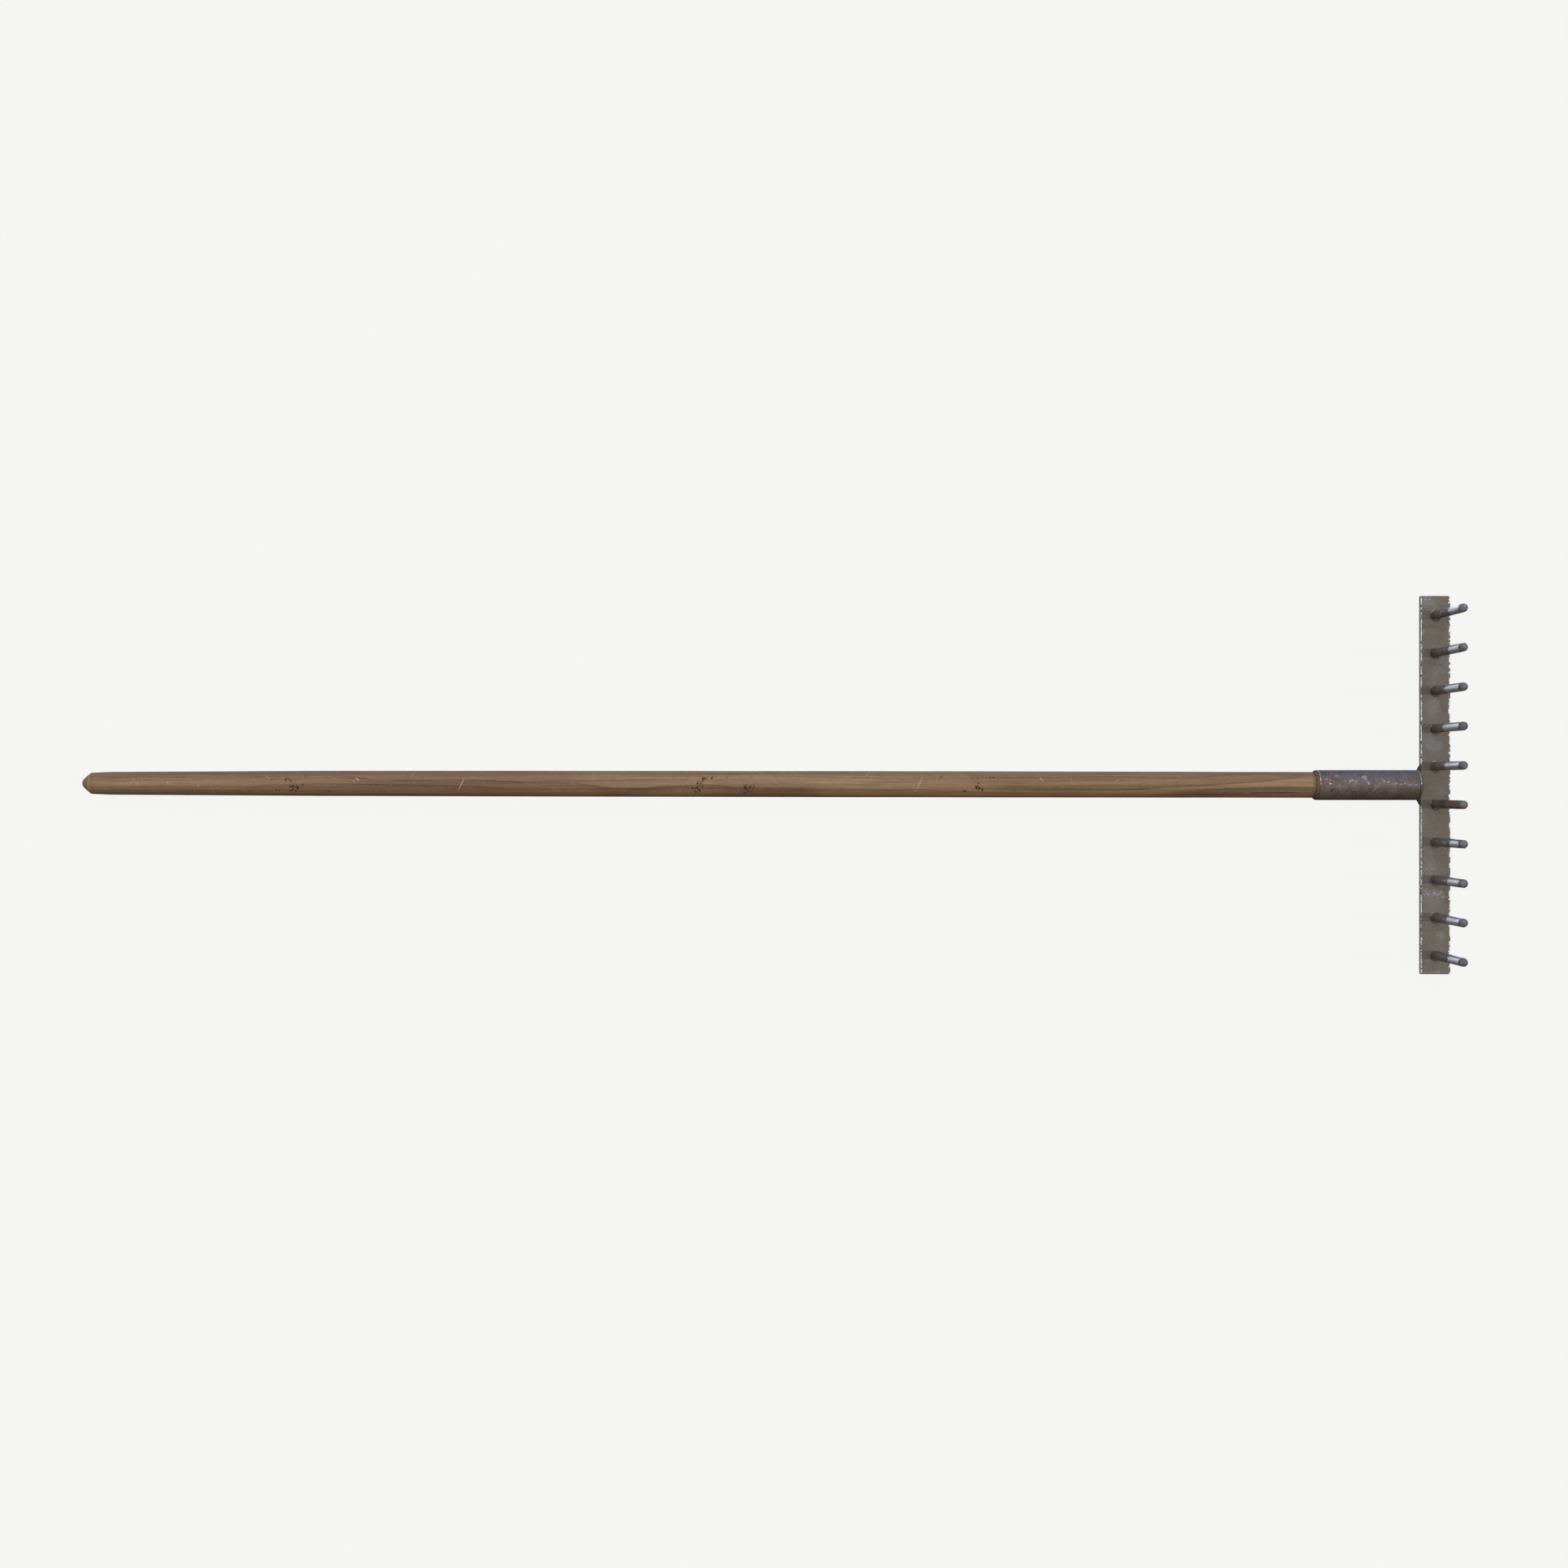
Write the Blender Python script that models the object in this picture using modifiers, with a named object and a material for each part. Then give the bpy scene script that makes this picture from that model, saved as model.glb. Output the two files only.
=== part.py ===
"""Hay rake: ten round steel tines in a flat bar, welded to a tubular socket on a long wooden handle.

Metres, +Z up. The rake lies on its back with its tines pointing up. +X runs from the free end of the
handle to the head. The origin is under the middle of the rake, on the surface that it lies on.
"""

import math

import bmesh
import bpy

# Whole rake
TOTAL_LENGTH = 1.515  # free end of the handle to the outer edge of the bar
GAP = 0.0003  # clearance between pieces that touch

# Head bar: a flat steel strip, its long edge facing the handle
BAR_WIDTH = 0.0328
BAR_LENGTH = 0.419
BAR_THICKNESS = 0.0058
BAR_EDGE_ROUND = 0.0006

# Tines: straight rods through holes in the bar
TINE_COUNT = 10
TINE_PITCH = 0.04185
TINE_RADIUS = 0.0048
TINE_REACH = 0.0916  # straight part, above the bar's front face
TINE_CROWN = 0.0022  # height of the domed tip
TINE_TAIL = 0.0010  # how far the rod stands out behind the bar
TINE_TAIL_CHAMFER = 0.0004
HOLE_RIM = 0.0008  # chamfer round the front of each hole

# Weld bead round each rod, behind the bar
TINE_WELD_RADIUS = 0.0083
TINE_WELD_HEIGHT = 0.0019

# Socket: a short length of steel pipe, closed by a disc where it meets the bar
SOCKET_RADIUS = 0.0167
SOCKET_LENGTH = 0.1140
SOCKET_BORE_RADIUS = 0.01455
MOUTH_ROUND = 0.0028  # how far back the mouth's rounded edge reaches
CAP_THICKNESS = 0.0036
CAP_CHAMFER = 0.0017

# Welds between the socket and the bar: a fillet on each side, and a quarter-round bead behind
SIDE_WELD_ALONG_BAR = 0.0052
SIDE_WELD_ALONG_SOCKET = 0.0037
SIDE_WELD_HALF_HEIGHT = 0.0031
BACK_WELD_RADIUS = 0.0044
BACK_WELD_HALF_LENGTH = 0.0110
WELD_EDGE_ROUND = 0.0007

# Handle: turned wood, thickest past the middle, slimmer towards the free end
HANDLE_TIP_RADIUS = 0.0042
HANDLE_STATIONS = (  # distance from the free end, diameter
    (0.0090, 0.0232),
    (0.0290, 0.0252),
    (0.0880, 0.0259),
    (0.2680, 0.0279),
    (0.5400, 0.0286),
    (0.9900, 0.0290),
    (1.3500, 0.0285),
)
HANDLE_INNER_CHAMFER = 0.0020
HANDLE_END_CLEARANCE = 0.0010  # between the handle and the disc at the bottom of the socket

# Countersunk screw through the underside of the socket into the handle
SCREW_FROM_MOUTH = 0.0300
SCREW_HEAD_RADIUS = 0.0042
SCREW_SHANK_RADIUS = 0.0020
SCREW_HEAD_DEPTH = SCREW_HEAD_RADIUS - SCREW_SHANK_RADIUS  # a 90 degree head
SCREW_LENGTH = 0.0165
SCREW_TIP = 0.0045
SCREW_SUNK = 0.00015  # head below the socket's lowest line
SLOT_WIDTH = 0.0010
SLOT_DEPTH = 0.0009
SLOT_ANGLE = math.radians(28)

# Sides of the round pieces
HANDLE_SIDES = 48
SOCKET_SIDES = 64
ROD_SIDES = 24
ARC_STEPS = 4  # straight stretches that a quarter round or a crown is made of
SMOOTH_BELOW = math.radians(35)
MERGE = 0.00001

# Places along the rake that follow from the sizes
AXIS_Z = SOCKET_RADIUS
BAR_X = TOTAL_LENGTH / 2 - BAR_WIDTH / 2
BAR_INNER_X = TOTAL_LENGTH / 2 - BAR_WIDTH
BAR_FRONT_Z = AXIS_Z + BAR_THICKNESS / 2
BAR_BACK_Z = AXIS_Z - BAR_THICKNESS / 2
CAP_X = BAR_INNER_X - GAP - CAP_THICKNESS
SOCKET_END_X = CAP_X - GAP
MOUTH_X = SOCKET_END_X - SOCKET_LENGTH
HANDLE_X = -TOTAL_LENGTH / 2
HANDLE_LENGTH = SOCKET_END_X - HANDLE_END_CLEARANCE - HANDLE_X
SCREW_X = MOUTH_X + SCREW_FROM_MOUTH
SCREW_Z = AXIS_Z - SOCKET_RADIUS + SCREW_SUNK


def clear_scene():
    for obj in list(bpy.data.objects):
        bpy.data.objects.remove(obj, do_unlink=True)


def new_collection(name):
    collection = bpy.data.collections.new(name)
    bpy.context.scene.collection.children.link(collection)
    return collection


def new_material(name, color, metallic, roughness):
    material = bpy.data.materials.new(name)
    material.use_nodes = True
    shader = material.node_tree.nodes["Principled BSDF"]
    shader.inputs["Base Color"].default_value = (*color, 1.0)
    shader.inputs["Metallic"].default_value = metallic
    shader.inputs["Roughness"].default_value = roughness
    material.diffuse_color = (*color, 1.0)
    return material


def new_object(name, data, collection, material=None):
    obj = bpy.data.objects.new(name, data)
    collection.objects.link(obj)
    if material is not None:
        obj.data.materials.append(material)
    return obj


def baked(obj):
    """The object with its modifiers made part of its mesh, its round faces smooth and its corners sharp."""
    graph = bpy.context.evaluated_depsgraph_get()
    mesh = bpy.data.meshes.new_from_object(obj.evaluated_get(graph))
    mesh.name = obj.name
    mesh.shade_smooth()
    mesh.set_sharp_from_angle(angle=SMOOTH_BELOW)
    obj.modifiers.clear()
    obj.data = mesh
    return obj


def turned(name, profile, sides, collection, material=None):
    """A solid turned about its own Z. The profile's (radius, height) points run down its outer side.

    A profile that starts and ends on the axis is left open, and any other is closed into a ring.
    """
    mesh = bpy.data.meshes.new(name)
    points = [(radius, 0.0, height) for radius, height in profile]
    edges = [(i, i + 1) for i in range(len(points) - 1)]
    if profile[0][0] > 0:
        edges.append((len(points) - 1, 0))
    mesh.from_pydata(points, edges, [])
    obj = new_object(name, mesh, collection, material)
    screw = obj.modifiers.new("Turn", "SCREW")
    screw.axis = "Z"
    screw.steps = sides
    screw.render_steps = sides
    screw.use_merge_vertices = True
    screw.merge_threshold = MERGE
    return baked(obj)


def extruded(name, outline, half_height, collection, material):
    """A flat outline in its own XY plane, raised both ways along its own Z, with its edges rounded."""
    curve = bpy.data.curves.new(name, "CURVE")
    curve.dimensions = "2D"
    curve.fill_mode = "BOTH"
    curve.extrude = half_height
    spline = curve.splines.new("POLY")
    spline.points.add(len(outline) - 1)
    for point, (x, y) in zip(spline.points, outline):
        point.co = (x, y, 0.0, 1.0)
    spline.use_cyclic_u = True
    guide = new_object(name + "_outline", curve, collection)
    graph = bpy.context.evaluated_depsgraph_get()
    mesh = bpy.data.meshes.new_from_object(guide.evaluated_get(graph))
    bpy.data.objects.remove(guide, do_unlink=True)
    cage = bmesh.new()
    cage.from_mesh(mesh)
    bmesh.ops.remove_doubles(cage, verts=cage.verts, dist=MERGE)
    bmesh.ops.dissolve_limit(cage, angle_limit=0.01, verts=cage.verts, edges=cage.edges)
    bmesh.ops.recalc_face_normals(cage, faces=cage.faces)
    cage.to_mesh(mesh)
    cage.free()
    mesh.name = name
    obj = new_object(name, mesh, collection, material)
    add_bevel(obj, WELD_EDGE_ROUND)
    return obj


def box(name, size, collection, material=None):
    mesh = bpy.data.meshes.new(name)
    cage = bmesh.new()
    bmesh.ops.create_cube(cage, size=1.0)
    bmesh.ops.scale(cage, vec=size, verts=cage.verts)
    cage.to_mesh(mesh)
    cage.free()
    return new_object(name, mesh, collection, material)


def add_bevel(obj, width):
    bevel = obj.modifiers.new("Rounded edges", "BEVEL")
    bevel.width = width
    bevel.segments = 2
    bevel.limit_method = "ANGLE"
    bevel.angle_limit = math.radians(30)


def lay_along_x(obj, x):
    """Puts a turned piece on the rake's axis, its own +Z towards the head and its zero height at x."""
    obj.location = (x, 0.0, AXIS_Z)
    obj.rotation_euler = (0.0, math.pi / 2, 0.0)
    return obj


def as_cutter(obj):
    obj.hide_render = True
    obj.display_type = "WIRE"
    return obj


def cut(obj, *cutters):
    for cutter in cutters:
        boolean = obj.modifiers.new("Cut " + cutter.name, "BOOLEAN")
        boolean.operation = "DIFFERENCE"
        boolean.object = as_cutter(cutter)


def arc(center, half_axes, start, end, steps):
    """Points of a circle or an ellipse from one angle to another, counted from the first axis."""
    angles = [start + (end - start) * i / steps for i in range(steps + 1)]
    return [
        (center[0] + half_axes[0] * math.cos(a), center[1] + half_axes[1] * math.sin(a))
        for a in angles
    ]


def tine_y(index):
    """Tine 0 is the one furthest towards +Y."""
    return TINE_PITCH * ((TINE_COUNT - 1) / 2 - index)


def make_handle(parts, cutters, wood):
    inner_radius = HANDLE_STATIONS[-1][1] / 2
    profile = [
        (0.0, HANDLE_LENGTH),
        (inner_radius - HANDLE_INNER_CHAMFER, HANDLE_LENGTH),
        (inner_radius, HANDLE_LENGTH - HANDLE_INNER_CHAMFER),
    ]
    profile += [(diameter / 2, distance) for distance, diameter in reversed(HANDLE_STATIONS)]
    profile += [(HANDLE_TIP_RADIUS, 0.0), (0.0, 0.0)]
    handle = lay_along_x(turned("handle", profile, HANDLE_SIDES, parts, wood), HANDLE_X)

    hole_radius = SCREW_SHANK_RADIUS + GAP
    hole_top = SCREW_LENGTH + 2 * GAP
    pilot = turned(
        "screw_pilot",
        [(0.0, hole_top), (hole_radius, hole_top), (hole_radius, -hole_radius), (0.0, -hole_radius)],
        ROD_SIDES,
        cutters,
    )
    pilot.location = (SCREW_X, 0.0, SCREW_Z)
    cut(handle, pilot)


def make_socket(parts, cutters, paint):
    wall = SOCKET_RADIUS - SOCKET_BORE_RADIUS
    mouth = arc((SOCKET_BORE_RADIUS, MOUTH_ROUND), (wall, MOUTH_ROUND), 0, -math.pi / 2, ARC_STEPS)
    profile = [(SOCKET_RADIUS, SOCKET_LENGTH), *mouth, (SOCKET_BORE_RADIUS, SOCKET_LENGTH)]
    tube = lay_along_x(turned("socket_tube", profile, SOCKET_SIDES, parts, paint), MOUTH_X)

    shank = SCREW_SHANK_RADIUS + GAP
    cone_top = SCREW_HEAD_DEPTH + GAP * (math.sqrt(2) - 1)
    below = -SCREW_SHANK_RADIUS
    above = 2 * wall
    countersink = turned(
        "screw_countersink",
        [(0.0, above), (shank, above), (shank, cone_top), (shank + cone_top - below, below), (0.0, below)],
        ROD_SIDES,
        cutters,
    )
    countersink.location = (SCREW_X, 0.0, SCREW_Z)
    cut(tube, countersink)

    cap_profile = [
        (0.0, CAP_THICKNESS),
        (SOCKET_RADIUS - CAP_CHAMFER, CAP_THICKNESS),
        (SOCKET_RADIUS, CAP_THICKNESS - CAP_CHAMFER),
        (SOCKET_RADIUS, 0.0),
        (0.0, 0.0),
    ]
    lay_along_x(turned("socket_end_cap", cap_profile, SOCKET_SIDES, parts, paint), CAP_X)


def make_screw(parts, cutters, steel):
    profile = [
        (0.0, SCREW_LENGTH),
        (SCREW_SHANK_RADIUS, SCREW_LENGTH - SCREW_TIP),
        (SCREW_SHANK_RADIUS, SCREW_HEAD_DEPTH),
        (SCREW_HEAD_RADIUS, 0.0),
        (0.0, 0.0),
    ]
    screw = turned("handle_screw", profile, ROD_SIDES, parts, steel)
    screw.location = (SCREW_X, 0.0, SCREW_Z)
    slot = box("screw_slot", (3 * SCREW_HEAD_RADIUS, SLOT_WIDTH, 2 * SLOT_DEPTH), cutters)
    slot.location = screw.location
    slot.rotation_euler = (0.0, 0.0, SLOT_ANGLE)
    cut(screw, slot)


def make_bar(parts, cutters, paint):
    bar = box("head_bar", (BAR_WIDTH, BAR_LENGTH, BAR_THICKNESS), parts, paint)
    bar.location = (BAR_X, 0.0, AXIS_Z)
    add_bevel(bar, BAR_EDGE_ROUND)

    hole_radius = TINE_RADIUS + GAP
    top = BAR_THICKNESS / 2
    hole_profile = [
        (0.0, 2 * top),
        (hole_radius + HOLE_RIM + top, 2 * top),
        (hole_radius, top - HOLE_RIM),
        (hole_radius, -2 * top),
        (0.0, -2 * top),
    ]
    for index in range(TINE_COUNT):
        hole = turned(f"tine_hole_{index + 1:02d}", hole_profile, ROD_SIDES, cutters)
        hole.location = (BAR_X, tine_y(index), AXIS_Z)
        cut(bar, hole)


def make_tines(parts, steel, bead):
    tail_z = -BAR_THICKNESS - TINE_TAIL
    sphere = (TINE_RADIUS**2 + TINE_CROWN**2) / (2 * TINE_CROWN)
    top, rim = math.pi / 2, math.acos(TINE_RADIUS / sphere)
    crown = arc((0.0, TINE_REACH + TINE_CROWN - sphere), (sphere, sphere), top, rim, ARC_STEPS)
    rod_profile = [
        (0.0, TINE_REACH + TINE_CROWN),
        *crown[1:],
        (TINE_RADIUS, tail_z + TINE_TAIL_CHAMFER),
        (TINE_RADIUS - TINE_TAIL_CHAMFER, tail_z),
        (0.0, tail_z),
    ]
    bead_inner = TINE_RADIUS + GAP
    bead_half = (TINE_WELD_RADIUS - bead_inner) / 2
    bead_section = (bead_half, TINE_WELD_HEIGHT)
    bead_profile = arc((bead_inner + bead_half, 0.0), bead_section, 0, -math.pi, 2 * ARC_STEPS)
    for index in range(TINE_COUNT):
        tine = turned(f"tine_{index + 1:02d}", rod_profile, ROD_SIDES, parts, steel)
        tine.location = (BAR_X, tine_y(index), BAR_FRONT_Z)
        ring = turned(f"tine_weld_{index + 1:02d}", bead_profile, ROD_SIDES, parts, bead)
        ring.location = (BAR_X, tine_y(index), BAR_BACK_Z - GAP)


def make_socket_welds(parts, bead):
    side_outline = [
        (0.0, 0.0),
        (0.0, SIDE_WELD_ALONG_BAR),
        (-SIDE_WELD_ALONG_SOCKET, 0.0),
    ]
    for name, side in (("socket_weld_left", 1), ("socket_weld_right", -1)):
        outline = [(x, side * y) for x, y in side_outline]
        weld = extruded(name, outline, SIDE_WELD_HALF_HEIGHT, parts, bead)
        weld.location = (BAR_INNER_X - GAP, side * (SOCKET_RADIUS + GAP), AXIS_Z)

    # Its outline lies in the rake's XZ plane, in the corner behind the bar
    round_face = arc((0.0, 0.0), (BACK_WELD_RADIUS, BACK_WELD_RADIUS), 0, -math.pi / 2, ARC_STEPS)
    back_outline = [(0.0, 0.0), *round_face]
    back = extruded("socket_weld_back", back_outline, BACK_WELD_HALF_LENGTH, parts, bead)
    back.rotation_euler = (math.pi / 2, 0.0, 0.0)
    back.location = (BAR_INNER_X, 0.0, BAR_BACK_Z - GAP)


def main():
    clear_scene()
    parts = new_collection("hay_rake")
    cutters = new_collection("cutters")
    wood = new_material("varnished_wood", (0.26, 0.15, 0.08), 0.0, 0.42)
    socket_paint = new_material("socket_paint", (0.13, 0.11, 0.11), 0.35, 0.55)
    bar_paint = new_material("bar_paint", (0.15, 0.13, 0.11), 0.25, 0.60)
    steel = new_material("tine_steel", (0.42, 0.43, 0.45), 0.90, 0.38)
    bead = new_material("weld_bead", (0.10, 0.09, 0.085), 0.50, 0.60)
    screw_steel = new_material("screw_steel", (0.30, 0.29, 0.28), 0.85, 0.45)

    make_handle(parts, cutters, wood)
    make_socket(parts, cutters, socket_paint)
    make_screw(parts, cutters, screw_steel)
    make_bar(parts, cutters, bar_paint)
    make_tines(parts, steel, bead)
    make_socket_welds(parts, bead)


main()
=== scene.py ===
"""Looks of the hay rake: the pale studio, the camera, and every visible piece with its wear.

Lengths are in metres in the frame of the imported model: +X from the handle's free end to the head,
+Y along the bar, +Z up along the tines. The tables of sizes and marks are in millimetres.
"""

import math

import bpy
import numpy as np
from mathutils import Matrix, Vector


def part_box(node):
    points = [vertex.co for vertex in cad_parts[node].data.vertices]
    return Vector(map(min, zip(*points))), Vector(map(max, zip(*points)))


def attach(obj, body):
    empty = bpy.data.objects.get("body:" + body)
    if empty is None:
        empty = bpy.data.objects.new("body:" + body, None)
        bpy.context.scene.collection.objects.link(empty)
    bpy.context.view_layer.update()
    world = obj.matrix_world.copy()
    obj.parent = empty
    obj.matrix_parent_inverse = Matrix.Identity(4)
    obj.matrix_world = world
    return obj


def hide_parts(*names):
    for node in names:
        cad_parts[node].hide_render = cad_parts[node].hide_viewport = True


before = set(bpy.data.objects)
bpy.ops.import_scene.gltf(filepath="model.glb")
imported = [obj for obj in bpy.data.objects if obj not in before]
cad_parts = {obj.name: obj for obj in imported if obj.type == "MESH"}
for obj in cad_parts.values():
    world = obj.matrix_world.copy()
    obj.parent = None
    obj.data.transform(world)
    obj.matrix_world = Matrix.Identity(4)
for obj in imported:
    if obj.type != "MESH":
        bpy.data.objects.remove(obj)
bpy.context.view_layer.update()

LIGHT = 0.8  # how bright a white face seen from above is under the studio light
SEED = 41
MM = 0.001  # one millimetre, by which the numbers of the tables are multiplied

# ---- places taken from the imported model


def box(node):
    lo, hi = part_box(node)
    return np.array(lo), np.array(hi)


BAR_LO, BAR_HI = box("head_bar")
TUBE_LO, TUBE_HI = box("socket_tube")
CAP_LO, CAP_HI = box("socket_end_cap")
HANDLE_LO, HANDLE_HI = box("handle")
SCREW_LO, SCREW_HI = box("handle_screw")
TINES = [f"tine_{i + 1:02d}" for i in range(10)]
TINE_BOXES = [box(name) for name in TINES]
TINE_Y = [(lo[1] + hi[1]) / 2 for lo, hi in TINE_BOXES]
TINE_PITCH = TINE_Y[0] - TINE_Y[1]
BAR_X = (BAR_LO[0] + BAR_HI[0]) / 2
BAR_FACE = BAR_HI[2]
AXIS_Z = (TUBE_LO[2] + TUBE_HI[2]) / 2
TUBE_RADIUS = (TUBE_HI[2] - TUBE_LO[2]) / 2
MOUTH_X = TUBE_LO[0]
TINE_RADIUS = (TINE_BOXES[0][1][0] - TINE_BOXES[0][0][0]) / 2
HOLE_RADIUS = TINE_RADIUS + 0.0003

# ---- helpers: numbers and meshes


def wander(t, step, seed, smooth=False):
    """A random function of t from 0 to 1 that changes over about one step."""
    t = np.asarray(t, float) / step
    table = np.random.default_rng(SEED + seed).random(4096)
    whole = np.floor(t).astype(int)
    part = t - whole
    if smooth:
        part = part * part * (3 - 2 * part)
    return table[whole % 4096] * (1 - part) + table[(whole + 1) % 4096] * part


def wander2(a, b, step, seed):
    """A random function of two numbers from 0 to 1 that changes over about one step."""
    a, b = np.asarray(a, float) / step, np.asarray(b, float) / step
    table = np.random.default_rng(SEED + seed).random((256, 256))
    i, j = np.floor(a).astype(int), np.floor(b).astype(int)
    u, v = a - i, b - j
    u, v = u * u * (3 - 2 * u), v * v * (3 - 2 * v)
    i, j, k, m = i % 256, j % 256, (i + 1) % 256, (j + 1) % 256
    low = table[i, j] * (1 - u) + table[k, j] * u
    high = table[i, m] * (1 - u) + table[k, m] * u
    return low * (1 - v) + high * v


def all_round(count):
    """Evenly spaced angles of a full turn."""
    return np.linspace(0, 2 * math.pi, count, endpoint=False)


def turn_from(t, across, radius):
    """How far each angle is from the place on the upper side that lies this far across."""
    around = math.asin(max(-0.95, min(0.95, across / radius)))
    return (t - around + math.pi) % (2 * math.pi) - math.pi


def step_up(value, start, end):
    """0 below start, 1 above end, smooth between."""
    t = np.clip((value - start) / (end - start), 0, 1)
    return t * t * (3 - 2 * t)


def skin(name, rings, loop=False):
    """A closed mesh over closed rings of points. The ends are closed by fans, or joined when loop."""
    rings = np.asarray(rings, float)
    count, around = rings.shape[:2]
    points = rings.reshape(-1, 3)
    here = np.arange(around)
    beside = (here + 1) % around
    faces = []
    for i in range(count if loop else count - 1):
        a, b = i * around, (i + 1) % count * around
        faces.append(np.stack([a + here, a + beside, b + beside, b + here], 1))
    faces = np.concatenate(faces).tolist()
    if not loop:
        points = np.concatenate([points, rings[0].mean(0)[None], rings[-1].mean(0)[None]])
        start, end, last = count * around, count * around + 1, (count - 1) * around
        faces += np.stack([beside, here, np.full(around, start)], 1).tolist()
        faces += np.stack([last + here, last + beside, np.full(around, end)], 1).tolist()
    mesh = bpy.data.meshes.new(name)
    mesh.from_pydata(points.tolist(), [], faces)
    mesh.validate()
    mesh.shade_smooth()
    obj = bpy.data.objects.new(name, mesh)
    bpy.context.scene.collection.objects.link(obj)
    return obj


def outward(obj):
    """Turns all faces to look out of the piece."""
    mesh = obj.data
    mesh.calc_loop_triangles()
    volume = 0
    for tri in mesh.loop_triangles:
        a, b, c = (mesh.vertices[i].co for i in tri.vertices)
        volume += a.dot(b.cross(c))
    if volume < 0:
        mesh.flip_normals()
    return obj


def solid(name, rings, sharp=None, loop=False):
    """A smooth closed piece over rings of points, with sharp edges over a number of degrees."""
    obj = outward(skin(name, rings, loop))
    if sharp:
        obj.data.set_sharp_from_angle(angle=math.radians(sharp))
    return obj


def mark(obj, name, values):
    """Stores a number for each vertex, which the piece's material reads by name."""
    values = np.asarray(values, np.float32).reshape(-1)
    full = np.zeros(len(obj.data.vertices), np.float32)
    full[: len(values)] = values
    obj.data.attributes.new(name, "FLOAT", "POINT").data.foreach_set("value", full)


def applied(obj):
    """Makes the object's modifiers part of its mesh."""
    graph = bpy.context.evaluated_depsgraph_get()
    mesh = bpy.data.meshes.new_from_object(obj.evaluated_get(graph))
    obj.modifiers.clear()
    obj.data = mesh


def cut_away(obj, cutters, sharp):
    for cutter in cutters:
        boolean = obj.modifiers.new("Cut", "BOOLEAN")
        boolean.operation = "DIFFERENCE"
        boolean.solver = "EXACT"
        boolean.object = cutter
    applied(obj)
    for cutter in cutters:
        bpy.data.objects.remove(cutter, do_unlink=True)
    obj.data.shade_smooth()
    obj.data.set_sharp_from_angle(angle=math.radians(sharp))


def turned_z(name, profile, x, y, sides):
    """A solid of (radius, height) points turned about the vertical line through x, y."""
    angles = all_round(sides)
    rings = [
        np.stack([x + r * np.cos(angles), y + r * np.sin(angles), np.full(sides, h)], 1)
        for r, h in profile
    ]
    return solid(name, rings)


def finished(obj, node, material):
    """Gives a new piece its material and puts it on the frame in place of its CAD node."""
    obj.data.materials.clear()
    obj.data.materials.append(material)
    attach(obj, "root")
    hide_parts(node)
    return obj


# ---- helpers: materials


def linear(r, g, b):
    """A display colour from 0 to 255 as linear light."""
    return tuple(
        c / 12.92 if c <= 0.04045 else ((c + 0.055) / 1.055) ** 2.4 for c in (r / 255, g / 255, b / 255)
    )


def seen(r, g, b):
    """The base colour of a dull face that shows as this display colour under the studio light."""
    return tuple(c / LIGHT for c in linear(r, g, b)) + (1,)


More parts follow.
